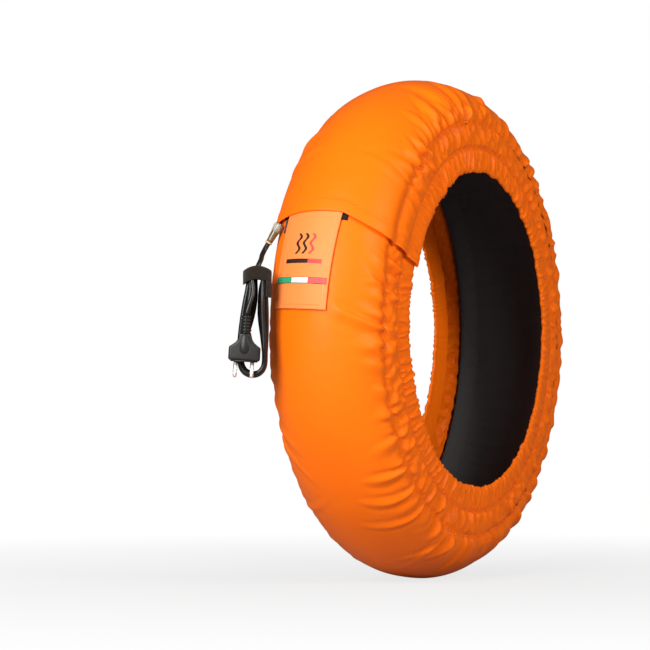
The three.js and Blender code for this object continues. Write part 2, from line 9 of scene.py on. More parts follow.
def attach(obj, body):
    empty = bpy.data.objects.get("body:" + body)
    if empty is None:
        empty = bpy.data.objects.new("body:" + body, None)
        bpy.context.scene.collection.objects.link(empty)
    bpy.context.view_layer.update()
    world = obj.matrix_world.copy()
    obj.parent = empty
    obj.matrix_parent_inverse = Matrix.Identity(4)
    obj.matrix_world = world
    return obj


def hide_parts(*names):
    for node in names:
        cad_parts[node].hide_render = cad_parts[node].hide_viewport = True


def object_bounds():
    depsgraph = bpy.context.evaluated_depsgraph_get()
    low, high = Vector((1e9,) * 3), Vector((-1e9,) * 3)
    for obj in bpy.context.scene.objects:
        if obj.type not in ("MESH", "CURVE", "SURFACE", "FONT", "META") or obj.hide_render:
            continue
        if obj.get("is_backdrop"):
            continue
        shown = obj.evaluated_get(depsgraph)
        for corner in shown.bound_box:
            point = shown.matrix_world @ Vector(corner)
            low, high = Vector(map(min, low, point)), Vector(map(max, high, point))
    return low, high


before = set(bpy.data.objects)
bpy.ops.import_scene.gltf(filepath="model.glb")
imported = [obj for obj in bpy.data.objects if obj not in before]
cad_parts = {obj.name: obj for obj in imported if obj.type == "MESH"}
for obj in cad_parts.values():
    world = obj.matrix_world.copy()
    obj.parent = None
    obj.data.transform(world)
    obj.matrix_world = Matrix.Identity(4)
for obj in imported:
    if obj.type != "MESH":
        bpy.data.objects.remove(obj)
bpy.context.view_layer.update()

MM = 0.001

# The camera
# It stands low in front of the ring, a little to the right of the closure, with a long lens,
# so that the ring sits right of the middle of a square picture.
CAMERA_AZIMUTH = math.radians(-62.572)
CAMERA_ELEVATION = math.radians(-1.127)
CAMERA_PLACE = (-3.551117, -1.700648, -0.072164)
LENS = 169.03
SENSOR = 36
back = Vector((
    math.sin(CAMERA_AZIMUTH) * math.cos(CAMERA_ELEVATION),
    -math.cos(CAMERA_AZIMUTH) * math.cos(CAMERA_ELEVATION),
    math.sin(CAMERA_ELEVATION),
))
right = Vector((math.cos(CAMERA_AZIMUTH), math.sin(CAMERA_AZIMUTH), 0))
camera = bpy.data.objects.new("camera", bpy.data.cameras.new("camera"))
camera.data.sensor_width = SENSOR
camera.data.lens = LENS
camera.data.clip_start = 0.1
camera.data.clip_end = 60
turn = Matrix((right, back.cross(right), back)).transposed().to_4x4()
camera.matrix_world = Matrix.Translation(CAMERA_PLACE) @ turn
bpy.context.scene.collection.objects.link(camera)
bpy.context.scene.camera = camera


# Meshes and smooth lines
# Pieces are built from grids of points in millimetres, which may close on themselves along
# their columns. A cloth piece also has a UV map, which counts the metres of its cloth.
def place_mesh(name, points, faces, paint, uv=None):
    mesh = bpy.data.meshes.new(name)
    mesh.from_pydata((np.asarray(points) * MM).tolist(), [], [list(face) for face in faces])
    if uv is not None:
        corners = np.zeros(len(mesh.loops), np.int32)
        mesh.loops.foreach_get("vertex_index", corners)
        layer = mesh.uv_layers.new(name="cloth")
        layer.data.foreach_set("uv", (np.asarray(uv) * MM)[corners].ravel())
    mesh.polygons.foreach_set("use_smooth", [True] * len(mesh.polygons))
    mesh.update()
    piece = bpy.data.objects.new(name, mesh)
    bpy.context.scene.collection.objects.link(piece)
    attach(piece, "root")
    mesh.materials.append(paint.material)
    return piece


def grid_faces(rows, cols, closed=False, start=0):
    """The quads of a grid whose points run along the columns first."""
    i = np.arange(rows - 1)[:, None]
    j = np.arange(cols if closed else cols - 1)[None, :]
    k = (j + 1) % cols
    quads = np.stack([i * cols + j, i * cols + k, (i + 1) * cols + k, (i + 1) * cols + j], -1)
    return quads.reshape(-1, 4) + start


def capped_faces(rows, cols):
    """The faces of a grid that closes along its columns, with a cap at each end."""
    last = (rows - 1) * cols
    caps = [list(range(cols))[::-1], [last + k for k in range(cols)]]
    return grid_faces(rows, cols, closed=True).tolist() + caps


def smooth_line(keys, step, passes=0):
    """Points a step apart along a smooth curve through the keys, in any number of dimensions.
    Each pass evens out its bends a little."""
    keys = np.asarray(keys, float)
    padded = np.vstack([2 * keys[0] - keys[1], keys, 2 * keys[-1] - keys[-2]])
    t = np.linspace(0, 1, 24, endpoint=False)[:, None]
    runs = []
    for a, b, c, d in zip(padded, padded[1:], padded[2:], padded[3:]):
        runs.append(0.5 * (
            2 * b + (c - a) * t + (2 * a - 5 * b + 4 * c - d) * t ** 2
            + (3 * b - a - 3 * c + d) * t ** 3
        ))
    dense = np.vstack(runs + [keys[-1:]])
    along = np.r_[0, np.cumsum(np.linalg.norm(np.diff(dense, axis=0), axis=1))]
    marks = np.linspace(0, along[-1], max(2, int(round(along[-1] / step)) + 1))
    even = np.stack([np.interp(marks, along, dense[:, n]) for n in range(dense.shape[1])], -1)
    for _ in range(passes):
        even[1:-1] = 0.5 * even[1:-1] + 0.25 * (even[:-2] + even[2:])
    return even


def tube(line, radius, sides=16):
    """A round tube along a line, with closed ends; radius may change along it."""
    line = np.asarray(line, float)
    radius = np.broadcast_to(radius, len(line))
    ahead = np.gradient(line, axis=0)
    ahead /= np.linalg.norm(ahead, axis=1)[:, None]
    side = np.cross(ahead[0], [0.3, 0.2, 1.0])
    points = []
    for here, way, size in zip(line, ahead, radius):
        side = side - way * (side @ way)
        side /= np.linalg.norm(side)
        other = np.cross(way, side)
        angle = np.linspace(0, 2 * np.pi, sides, endpoint=False)[:, None]
        points.append(here + size * (np.cos(angle) * side + np.sin(angle) * other))
    return np.vstack(points), capped_faces(len(line), sides)


def smoothstep(x, low, high):
    t = np.clip((np.asarray(x, float) - low) / (high - low), 0, 1)
    return t * t * (3 - 2 * t)


def join(*parts):
    """Several (points, faces) as one."""
    points, faces, count = [], [], 0
    for some, quads in parts:
        points.append(np.asarray(some, float))
        faces += [[k + count for k in face] for face in quads]
        count += len(some)
    return np.vstack(points), faces


# Shader maths
# A Value is a node's output that adds and multiplies as a number does. A Paint is one material,
# and its node method makes any other node.
class Value:
    def __init__(self, paint, socket):
        self.paint, self.socket = paint, socket

    def maths(self, operation, *others):
        made = self.paint.tree.nodes.new("ShaderNodeMath")
        made.operation = operation
        for socket, value in zip(made.inputs, (self, *others)):
            self.paint.put(socket, value)
        return Value(self.paint, made.outputs[0])

    def __add__(self, other):
        return self.maths("ADD", other)

    def __sub__(self, other):
        return self.maths("SUBTRACT", other)

    def __mul__(self, other):
        return self.maths("MULTIPLY", other)

    def sine(self):
        return self.maths("SINE")

    def size(self):
        return self.maths("ABSOLUTE")

    def below(self, other):
        return self.maths("LESS_THAN", other)

    def above(self, other):
        return self.maths("GREATER_THAN", other)

    def least(self, other):
        return self.maths("MINIMUM", other)

    def most(self, other):
        return self.maths("MAXIMUM", other)


class Paint:
    def __init__(self, name):
        self.material = bpy.data.materials.new(name)
        self.material.use_nodes = True
        self.tree = self.material.node_tree
        self.tree.nodes.clear()
        self.shader = self.tree.nodes.new("ShaderNodeBsdfPrincipled")
        self.end = self.tree.nodes.new("ShaderNodeOutputMaterial")
        self.tree.links.new(self.shader.outputs[0], self.end.inputs[0])

    def put(self, socket, value):
        if isinstance(value, Value):
            self.tree.links.new(value.socket, socket)
        elif isinstance(value, tuple) and len(value) == 3 and socket.type == "RGBA":
            socket.default_value = (*value, 1)
        else:
            socket.default_value = value

    def node(self, kind, output=0, settings=None, **inputs):
        made = self.tree.nodes.new("ShaderNode" + kind)
        for key, value in (settings or {}).items():
            setattr(made, key, value)
        for key, value in inputs.items():
            self.put(made.inputs[key.replace("_", " ")], value)
        return Value(self, made.outputs[output])

    def set(self, **inputs):
        for key, value in inputs.items():
            self.put(self.shader.inputs[key.replace("_", " ")], value)

    def noise(self, scale, detail=3.0, roughness=0.5):
        place = self.node("TexCoord", output=3)
        return self.node("TexNoise", Vector=place, Scale=scale, Detail=detail, Roughness=roughness)

    def blend(self, share, low, high):
        made = self.tree.nodes.new("ShaderNodeMix")
        made.data_type = "RGBA"
        self.put(made.inputs["Factor"], share)
        colours = [s for s in made.inputs if s.type == "RGBA"]
        self.put(colours[0], low)
        self.put(colours[1], high)
        return Value(self, [s for s in made.outputs if s.type == "RGBA"][0])

    def bump(self, height, strength, distance):
        self.put(
            self.shader.inputs["Normal"],
            self.node("Bump", Height=height, Strength=strength, Distance=distance),
        )

    def cloth_uv(self):
        """The cloth's own two coordinates, in metres."""
        made = self.tree.nodes.new("ShaderNodeUVMap")
        made.uv_map = "cloth"
        apart = self.tree.nodes.new("ShaderNodeSeparateXYZ")
        self.tree.links.new(made.outputs[0], apart.inputs[0])
        return Value(self, apart.outputs[0]), Value(self, apart.outputs[1])


def weave(paint, pitch):
    """The height of a plain weave whose threads lie a pitch apart, from 0 to 1."""
    u, v = paint.cloth_uv()
    wave = 2 * math.pi / pitch
    return ((u * wave).sine() * (v * wave).sine()) * 0.5 + 0.5


def mottled(name, scale, low, high, **noise_settings):
    """A paint whose colour wanders between two tones, and the noise that it wanders by."""
    paint = Paint(name)
    noise = paint.noise(scale, **noise_settings)
    paint.set(Base_Color=paint.blend(noise, low, high))
    return paint, noise


# Black rubber, moulded plastic, nickel and hook-and-loop pile
# The cord's jacket is smooth with a dull shine, the plug is finely grained, and the tie's pile
# is a dark brown felt.
rubber, dust = mottled("cord_jacket", 90, (0.003, 0.0026, 0.0022), (0.011, 0.010, 0.008))
rubber.set(Roughness=dust * 0.18 + 0.26, Specular_IOR_Level=0.4)
rubber.bump(rubber.noise(420), 0.12, 0.0004)

plastic, dust = mottled("plug_plastic", 60, (0.005, 0.0045, 0.004), (0.014, 0.012, 0.010))
plastic.set(Roughness=dust * 0.2 + 0.32, Specular_IOR_Level=0.35)
plastic.bump(plastic.noise(900, detail=1.0), 0.25, 0.0003)

nickel, smear = mottled("pin_metal", 160, (0.86, 0.82, 0.74), (0.97, 0.95, 0.90))
nickel.set(Metallic=1.0, Roughness=smear * 0.16 + 0.34)

pile, tuft = mottled(
    "hook_and_loop", 700, (0.003, 0.002, 0.0015), (0.030, 0.017, 0.009), detail=4.0, roughness=0.7
)
pile.set(Roughness=0.95, Specular_IOR_Level=0.2, Sheen_Weight=0.15)
pile.bump(tuft, 0.9, 0.0012)

# The supply cord
# It leaves the boot under the flap, drops to a hank of five long turns that the tie holds
# together, and comes out down the front of the hank to the plug.
CORD_DIAMETER = 6.0
CORD_STEP = 2.4
CORD_PASSES = 14
HANK_ORIGIN = np.array([-334.5, 68.5, 0.0])
HANK_ANGLE = math.radians(-64.4)
HANK_X = np.array([math.cos(HANK_ANGLE), math.sin(HANK_ANGLE), 0])
HANK_Y = np.array([-math.sin(HANK_ANGLE), math.cos(HANK_ANGLE), 0])


def in_hank(points):
    """Points given across the hank, away from its face and up, as points of the ring."""
    points = np.atleast_2d(np.asarray(points, float))
    return (
        HANK_ORIGIN + points[:, :1] * HANK_X + points[:, 1:2] * HANK_Y
        + points[:, 2:] * np.array([0, 0, 1.0])
    )


def arc(centre, radius, start, end, count, near, far):
    """Points of an arc in the hank's face, from a near to a far depth, its angles in degrees."""
    points = []
    for share in np.linspace(0, 1, count):
        a = math.radians(start + (end - start) * share)
        depth = near + (far - near) * share
        points.append((centre[0] + radius * math.cos(a), depth, centre[1] + radius * math.sin(a)))
    return points


# Each turn has its depth in the hank, how far it fans out from the others and its lowest point.
HANK_TURNS = [
    (12.2, 4.0, -59.5), (6.1, 1.6, -62.0), (0.0, 3.0, -60.5), (-6.1, 0.6, -62.0),
    (-12.2, 2.2, -60.5),
]
FOOT_RADIUS = 15.2
HEAD_CENTRE = (6.6, 57.5)
HEAD_RADIUS = 10.0
turns = []
before = None
for depth, fan, low in HANK_TURNS:
    packed = 0.8 * depth
    if before is None:
        turns.append((3.4, packed + 1.6, 60.5))
    else:
        turns += arc(HEAD_CENTRE, HEAD_RADIUS, 15, 165, 6, before, packed)
    turns += [
        (-4.4 + 2.2 * fan, packed, 48.0),
        (-8.8 + 3.2 * fan, depth, 30.0),
        (-12.4 + 3.0 * fan, depth, 7.0),
        (-14.4 + 1.6 * fan, depth, -17.0),
        (-14.6 + 0.6 * fan, depth, -36.0),
    ]
    foot_centre = (1.4 + 0.2 * fan, low + FOOT_RADIUS)
    turns += arc(foot_centre, FOOT_RADIUS, 195, 345, 7, depth, depth - 1.2)
    turns += [
        (17.8 - 0.7 * fan, depth - 1.3, -32.0),
        (19.4 - 1.6 * fan, depth - 1.6, -13.0),
        (20.2 - 2.6 * fan, depth - 1.8, 10.0),
        (19.4 - 2.3 * fan, depth - 2.2, 31.0),
        (17.6 - 1.5 * fan, packed - 2.4, 47.0),
    ]
    before = packed - 2.6
tail_fold = arc((7.6, 57.0), 8.8, 20, 150, 5, before, -14.2)
tail = tail_fold + [
    (1.4, -14.8, 53.0),
    (3.6, -16.4, 45.0),
    (3.0, -19.2, 36.0),
    (0.2, -22.0, 27.0),
    (-2.8, -23.3, 19.0),
    (-4.2, -23.3, 12.0),
]

BOOT_LENGTH = 25.3
COLLAR_OUT = 2.6
boot_top = np.array([-277.96, 60.0, 123.76])
boot_lean = np.array([-0.2524, 0.4496, -0.8568])
boot_foot = boot_top + BOOT_LENGTH * boot_lean
mouth = boot_foot + COLLAR_OUT * boot_lean
hank_entry = in_hank([(5.5, 12.2, 68.5)])[0]
lead_start = mouth + 3.0 * boot_lean
lead_reach = (hank_entry - lead_start) @ boot_lean
lead_aside = hank_entry - lead_start - lead_reach * boot_lean
lead_offset = np.linalg.norm(lead_aside)
lead_aside /= lead_offset
lead_bend = 2 * math.atan2(lead_offset, lead_reach)
lead_radius = lead_reach / (2 * math.sin(lead_bend))
lead = []
for share in np.linspace(0, 1, 5):
    a = lead_bend * share
    lead.append(
        lead_radius * math.sin(a) * boot_lean + lead_radius * (1 - math.cos(a)) * lead_aside
    )
lead = [lead_start + step for step in lead] + [hank_entry - step for step in lead[-2::-1]]
route = np.vstack([[mouth], lead, in_hank(turns), in_hank(tail)])
line = smooth_line(route, CORD_STEP, CORD_PASSES)
points, faces = tube(line, CORD_DIAMETER / 2, 16)
supply_cord = place_mesh("supply_cord", points, faces, rubber)
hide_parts("cord_lead", "cord_hank", "cord_tail")

# The tie
# A hook-and-loop strap is pulled tight round the head of the hank, laps over itself at the
# right, and its free end hangs down there.
TIE_THICKNESS = 2.2
BAND_LOW, BAND_HIGH = 55.0, 70.6
END_LOW, END_HIGH = 33.0, 55.5


def strap(line, low, high, wave):
    """A closed band of cloth on edge along a flat line, from a low to a high height."""
    line = np.asarray(line, float)
    ahead = np.gradient(line, axis=0)
    out = np.stack([ahead[:, 1], -ahead[:, 0]], -1)
    out /= np.linalg.norm(out, axis=1)[:, None]
    rim = [(0.5 * math.cos(a), 0.3 * math.sin(a)) for a in np.linspace(0, np.pi, 5)]
    upper, lower = 0.75 * high + 0.25 * low, 0.25 * high + 0.75 * low
    loop = [(high, share, lift) for share, lift in rim]
    loop += [(upper, -0.5, 0.0), (lower, -0.5, 0.0)]
    loop += [(low, -share, -lift) for share, lift in rim]
    loop += [(lower, 0.5, 0.0), (upper, 0.5, 0.0)]
    points = []
    for k, (here, way) in enumerate(zip(line, out)):
        for height, share, lift in loop:
            sway = wave * math.sin(0.8 * k + height)
            spot = here + way * (share * TIE_THICKNESS + sway)
            points.append((spot[0], spot[1], height + lift))
    return np.array(points), capped_faces(len(line), len(loop))


round_hank = []
for angle in np.linspace(-40, 385, 56):
    a = math.radians(angle)
    spread = 1.0 + (0.07 if angle > 320 else 0) + (0.02 if angle > 0 else 0)
    c, s = math.cos(a), math.sin(a)
    round_hank.append((
        6.8 + 15.2 * spread * math.copysign(abs(c) ** 0.85, c),
        -2.4 + 16.6 * spread * math.copysign(abs(s) ** 0.85, s),
    ))
end_keys = [(22.6, 4.0), (23.6, -2.0), (23.8, -7.0), (22.4, -12.0), (18.8, -15.6)]
points, faces = join(
    strap(round_hank, BAND_LOW, BAND_HIGH, 0.3),
    strap(smooth_line(end_keys, 1.5), END_LOW, END_HIGH, 0.2),
)
points[:, 2] -= 4.6 * ((points[:, 0] - 8) / 15) ** 2 * smoothstep(points[:, 2], 40, 54)
cord_strap = place_mesh("cord_strap", in_hank(points), faces, pile)
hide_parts("cord_tie")

# The plug
# A ribbed strain relief runs into a round boss between two flat wings, and two round pins
# stand on the plug's face. The whole hangs a little askew.
PLUG_ACROSS = -4.2
PLUG_HEAD = 15.0
PLUG_DROP = 4.0
PLUG_DEPTH = -23.3


def turned(profile, sides, squash=1.0):
    """A turned body about the up axis from (radius, height) pairs, flattened front to back."""
    angle = np.linspace(0, 2 * np.pi, sides, endpoint=False)
    points = [(r * math.cos(a), r * squash * math.sin(a), z) for r, z in profile for a in angle]
    faces = grid_faces(len(profile), sides, closed=True).tolist()
    last = (len(profile) - 1) * sides
    faces.append(list(range(sides)))
    faces.append([last + k for k in range(sides)][::-1])
    return np.array(points), faces


def askew(points, tilt=3.5):
    """Hangs the plug's points from the relief's head, turned a few degrees in its own plane."""
    a = math.radians(tilt)
    x, y, z = np.asarray(points, float).T
    z = z - PLUG_HEAD
    turned_x = x * math.cos(a) + z * math.sin(a)
    turned_z = z * math.cos(a) - x * math.sin(a)
    placed = (turned_x + PLUG_ACROSS, y + PLUG_DEPTH, turned_z + PLUG_HEAD - PLUG_DROP)
    return in_hank(np.stack(placed, -1))


profile = [(0.01, 15.4), (3.6, 15.4), (4.3, 15.0)]
for rib in range(5):
    top = 14.6 - 4.0 * rib
    crest = 6.0 + 0.2 * rib
    groove = crest - 1.3
    profile += [(groove, top), (crest - 0.2, top - 0.45), (crest, top - 0.9), (crest, top - 2.1)]
    profile += [(crest - 0.2, top - 2.5), (groove, top - 2.9), (groove, top - 3.7)]
profile += [(6.4, -5.4), (6.6, -6.2), (0.01, -6.2)]
relief_points, faces = turned(profile, 28)
relief = place_mesh("cord_relief", askew(relief_points), faces, plastic)
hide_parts("plug_relief")


def wings():
    """The plug's flat body: its outline is inset and sunk at both faces to round its edges."""
    half = [(6.4, -6.4), (7.4, -10.0), (8.6, -14.0), (11.2, -17.6), (14.8, -20.4), (18.2, -22.6)]
    half += [(18.9, -24.4), (18.9, -36.6), (18.2, -38.6), (16.6, -39.2), (8.0, -39.2)]
    outline = np.array([(x, z) for x, z in half] + [(-x, z) for x, z in reversed(half)])
    centre = np.array([0.0, -27.0])
    rounding = [(6.2, 3.0), (6.0, 1.4), (5.2, 0.5), (4.0, 0.0)]
    rings = []
    for depth, inset in [(-depth, inset) for depth, inset in rounding] + rounding[::-1]:
        toward = centre - outline
        toward /= np.linalg.norm(toward, axis=1)[:, None]
        spot = outline + toward * inset
        rings.append(np.stack([spot[:, 0], np.full(len(spot), depth), spot[:, 1]], -1))
    return np.vstack(rings), capped_faces(len(rings), len(outline))


boss_profile = [(0.01, -5.8), (6.2, -5.8), (7.0, -8.0), (7.8, -12.0), (8.6, -16.0), (9.2, -20.0)]
boss_profile += [(9.3, -24.0), (8.8, -28.0), (7.6, -31.0), (5.6, -33.2), (3.0, -34.4)]
boss_profile += [(0.01, -34.8)]
boss = turned(boss_profile, 32, 0.86)
plate_profile = [(0.01, -38.6), (15.6, -38.6), (16.6, -39.8), (15.8, -40.6), (0.01, -40.6)]
points, faces = join(wings(), boss, turned(plate_profile, 36, 0.34))
plug = place_mesh("plug_shell", askew(points), faces, plastic)
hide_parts("plug_body")

PIN_OFFSET = 10.0
for side, name in ((-1, "left"), (1, "right")):
    profile = [(0.01, -40.2), (2.4, -40.2), (2.4, -57.0), (2.2, -58.2), (1.5, -59.2), (0.7, -59.7)]
    pin_points, faces = turned(profile + [(0.01, -59.8)], 20)
    pin_points[:, 0] += side * PIN_OFFSET
    pin = place_mesh("pin_" + name, askew(pin_points), faces, nickel)
    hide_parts("plug_pin_" + name)

# Orange nylon, thread and the other cloths
# The nylon has a fine plain weave, a soft coating shine and fine crinkles, and its colour
# deepens a little where it has been handled.
nylon = Paint("orange_nylon")
broad = nylon.noise(9, detail=2.0)
fine = nylon.noise(130, detail=4.0, roughness=0.62)
nylon.set(
    Base_Color=nylon.blend(
        broad * 0.7 + fine * 0.3, (0.92, 0.142, 0.0018), (1.0, 0.172, 0.0032)
    ),
    Roughness=fine * 0.12 + 0.38,
    Specular_IOR_Level=0.12,
)
nylon.bump(weave(nylon, 0.0011) * 0.05 + fine * 0.75 + nylon.noise(38) * 1.6, 0.34, 0.0011)

thread, _ = mottled("orange_thread", 900, (0.62, 0.10, 0.004), (0.95, 0.24, 0.03), detail=1.0)
thread.set(Roughness=0.55)
pale_thread, _ = mottled("pale_thread", 900, (0.95, 0.33, 0.10), (1.0, 0.55, 0.27), detail=1.0)
pale_thread.set(Roughness=0.5)

# The ring's shape
# The band is half a rounded oval in section. Places on it are given by a station, 0 on the
# crown and 90 at the shoulder seam, and by an angle round the ring, 0 in front and 90 on top.
CROWN_RADIUS = 320.0
SHOULDER_RADIUS = 262.8
BAND_HALF_WIDTH = 78.3
SEAM_HALF_WIDTH = 75.0
OVAL_POWER = 1.061
HEM_RADIUS = 204.5
RISE = CROWN_RADIUS - SHOULDER_RADIUS


def on_ring(radius, across, angle):
    turned_by = np.radians(angle)
    return np.stack(
        [-radius * np.cos(turned_by), across + 0 * turned_by, radius * np.sin(turned_by)], -1
    )


def section_at(station):
    """The band's radius and place across at a station, and the way its face looks there."""
    station = np.asarray(station, float)
    side = np.where(station < 0, -1.0, 1.0)
    s = np.abs(np.sin(np.radians(station)))
    c = np.abs(np.cos(np.radians(station)))
    radius = SHOULDER_RADIUS + RISE * c ** OVAL_POWER
    across = BAND_HALF_WIDTH * s ** OVAL_POWER
    tuck = smoothstep(np.abs(station), 72, 90)
    across = across - tuck * (BAND_HALF_WIDTH - SEAM_HALF_WIDTH)
    slope = np.stack([c / RISE, s / BAND_HALF_WIDTH], -1)
    slope /= np.linalg.norm(slope, axis=-1)[..., None]
    return radius, side * across, slope[..., 0], side * slope[..., 1]


def raised(station, height, angle):
    radius, across, up, out = section_at(station)
    return on_ring(radius + height * up, across + height * out, angle)


def station_of(across):
    """The station of a place across the band, between its edges."""
    share = np.clip(np.abs(across) / BAND_HALF_WIDTH, 0, 0.94) ** (1 / OVAL_POWER)
    return np.sign(across) * np.degrees(np.arcsin(share))


def lift_at(angle):
    """How far the upper end is lifted on to the lower one, which is pressed in a little."""
    upper = 1 - smoothstep(angle, 46, 84)
    lower = smoothstep(angle, 322, 366)
    return 4.2 * upper - 1.4 * lower


def gather_share(angle):
    return smoothstep(angle, 35, 48) * (1 - smoothstep(angle, 368, 388))


# Folds
# A pucker is a narrow ridge that starts at a seam, leans to one side and runs out to a point.
# Long, middling and short ones are strewn along each seam, from fixed seeds, and the same ones
# go on across the seam. Lengths along the ring are counted at the shoulder seam.
RING_ALONG = math.radians(460) * SHOULDER_RADIUS


def waves(x, period, seed):
    """Smooth noise from -1 to 1 along a line."""
    table = np.random.RandomState(seed).uniform(-1, 1, 512)
    x = np.asarray(x, float) / period + 100
    low = np.floor(x).astype(int)
    t = x - low
    t = t * t * (3 - 2 * t)
    return table[low % 512] * (1 - t) + table[(low + 1) % 512] * t


def waves_2d(x, y, period_x, period_y, seed):
    table = np.random.RandomState(seed).uniform(-1, 1, (256, 256))
    x = np.asarray(x, float) / period_x + 50
    y = np.asarray(y, float) / period_y + 50
    i, j = np.floor(x).astype(int), np.floor(y).astype(int)
    tx, ty = x - i, y - j
    tx, ty = tx * tx * (3 - 2 * tx), ty * ty * (3 - 2 * ty)
    i, j = i % 256, j % 256
    k, l = (i + 1) % 256, (j + 1) % 256
    upper = table[i, j] * (1 - tx) + table[k, j] * tx
    lower = table[i, l] * (1 - tx) + table[k, l] * tx
    return upper * (1 - ty) + lower * ty


def seam_wobble(along, away, side):
    """How far the seam, and the cloth by it, is drawn in or out."""
    drift = 1.5 * waves(along, 34, 310 + side) + 0.8 * waves(along, 13, 320 + side)
    return drift * np.exp(-(away / 20) ** 2)


def puckers(along, away, kinds, seed, lean=0.0, over=1.0):
    """The height of puckers that start at away = 0. Each kind is its spacing, shortest and
    longest length, width, and least and greatest height, in millimetres."""
    random = np.random.RandomState(seed)
    height = np.zeros(along.shape)
    row_mean = along.mean(axis=1)
    for spacing, short, long, width, least, most in kinds:
        start = 0.0
        while start < RING_ALONG:
            start += spacing * random.uniform(0.45, 1.6)
            reach = short + (long - short) * random.uniform(0, 1) ** 1.5
            wide = width * random.uniform(0.7, 1.35)
            tall = least + (most - least) * random.uniform(0, 1)
            skew = over * (lean * math.sin(start / 170.0 + seed) + random.uniform(-0.3, 0.3))
            curl = over * random.uniform(-0.5, 0.5) / long
            lopsided = random.uniform(-0.3, 0.3)
            span = 3.6 * wide + (abs(skew) + abs(curl) * reach) * reach + 16
            rows = np.nonzero(np.abs(row_mean - start) < span)[0]
            if not len(rows):
                continue
            some = slice(rows[0], rows[-1] + 1)
            x = np.clip(away[some] / reach, 0, 1)
            inside = (away[some] < reach) & (away[some] >= -1)
            centre = start + skew * away[some] + curl * away[some] ** 2
            body = wide * (0.6 + 0.8 * x) * np.sqrt(np.maximum(1 - x ** 3, 0.03))
            off = (along[some] - centre) / body
            off = np.abs(off) * (1 + lopsided * np.sign(off))
            ridge = np.exp(-off ** 1.5) - 0.45 * np.exp(-((off - 1.9) / 0.75) ** 2)
            fade = (1 - x ** 2) ** 1.2 * (0.4 + 0.6 * smoothstep(away[some], 0, 7))
            height[some] += np.where(inside, tall * ridge * fade, 0)
    return height


# The tread cover
# One strip goes round the tyre. Its upper end has a turned and stitched hem that makes the
# flap's edge, and it is puckered along both shoulder seams.
FLAP_ANGLE = 25.3
FLAP_LEFT_ANGLE = 25.0
FLAP_RIGHT_ANGLE = 22.0
FLAP_STRAIGHT = 30.0
END_ANGLE = 405.0
HEM_WIDTH = 18.0
TREAD_LENGTH = 2118.0


def flap_edge_at(across):
    """The angle of the flap's edge, which is straight in the middle and drops to its corners."""
    share = np.clip((np.abs(across) - FLAP_STRAIGHT) / (SEAM_HALF_WIDTH - FLAP_STRAIGHT), 0, 1)
    corner = np.where(across > 0, FLAP_LEFT_ANGLE, FLAP_RIGHT_ANGLE)
    return FLAP_ANGLE + (corner - FLAP_ANGLE) * share


dense = np.linspace(-90, 90, 1200)
dense_radius, dense_across, _, _ = section_at(dense)
dense_arc = np.r_[0, np.cumsum(np.hypot(np.diff(dense_radius), np.diff(dense_across)))]
BAND_ARC = float(dense_arc[-1])
TREAD_COLUMNS = 78
TREAD_ROWS = 1020
UNDER_ROWS = 6
edge_fine = np.array([0, 0.7, 1.5, 2.4, 3.4, 4.6])
arc_marks = np.r_[
    edge_fine,
    np.linspace(6.2, BAND_ARC - 6.2, TREAD_COLUMNS),
    BAND_ARC - edge_fine[::-1],
]
stations = np.interp(arc_marks, dense_arc, dense)
station_across = section_at(stations)[1]
roll = np.linspace(math.pi, 0, 7)
hem_rows = np.arange(1.2, 25, 1.2)
row_offset = np.r_[
    np.linspace(HEM_WIDTH, 2, UNDER_ROWS), 0.9 - 0.9 * np.sin(roll), hem_rows,
    np.linspace(26, TREAD_LENGTH, TREAD_ROWS),
]
row_height = np.r_[
    np.full(UNDER_ROWS, -1.6), -0.7 + 0.9 * np.cos(roll), np.zeros(len(hem_rows) + TREAD_ROWS),
]
first_top_row = UNDER_ROWS + len(roll)
top_rows = np.arange(len(row_offset)) >= first_top_row
edge_angle = flap_edge_at(station_across)
sweep = (END_ANGLE - edge_angle) / (END_ANGLE - FLAP_ANGLE)
angle = edge_angle[None, :] + np.degrees(row_offset[:, None] / CROWN_RADIUS) * sweep[None, :]
along = np.radians(angle) * SHOULDER_RADIUS
gather = gather_share(angle)


def strength_round(angle):
    """The cover is gathered most at the top, the foot and the front, and least at the back."""
    turned_by = np.radians(angle)
    front = np.maximum(0, np.cos(turned_by - 0.5))
    return 0.4 + 0.5 * np.sin(turned_by) ** 2 + 0.5 * front + 0.08 * np.sin(5 * turned_by)


def tread_folds(angle, along, arc_marks, gather):
    """Puckers from both shoulder seams, soft lumps by the seams and broad waves all over."""
    shape = (len(angle), len(arc_marks))
    height = np.zeros(shape)
    kinds = [
        (20, 30, 105, 6.0, 2.4, 5.8),
        (13, 14, 52, 4.0, 1.0, 3.0),
        (8, 6, 18, 2.6, 0.2, 0.8),
    ]
    for away, seed, lean, share in (
        (arc_marks, 11, 0.25, 1.0), (BAND_ARC - arc_marks, 23, -0.25, 0.5)
    ):
        away = np.broadcast_to(away[None, :], shape)
        height += share * puckers(along, away, kinds, seed, lean)
        lump = waves(along, 46, seed + 5) + 0.5 * waves(along, 23, seed + 6)
        height += 1.8 * share * lump * np.exp(-((away - 24) / 18) ** 2)
    height *= gather * strength_round(angle)
    broad = waves_2d(along, np.broadcast_to(arc_marks, shape), 62, 44, 7)
    height += 1.2 * broad * (0.25 + 0.75 * gather)
    return height


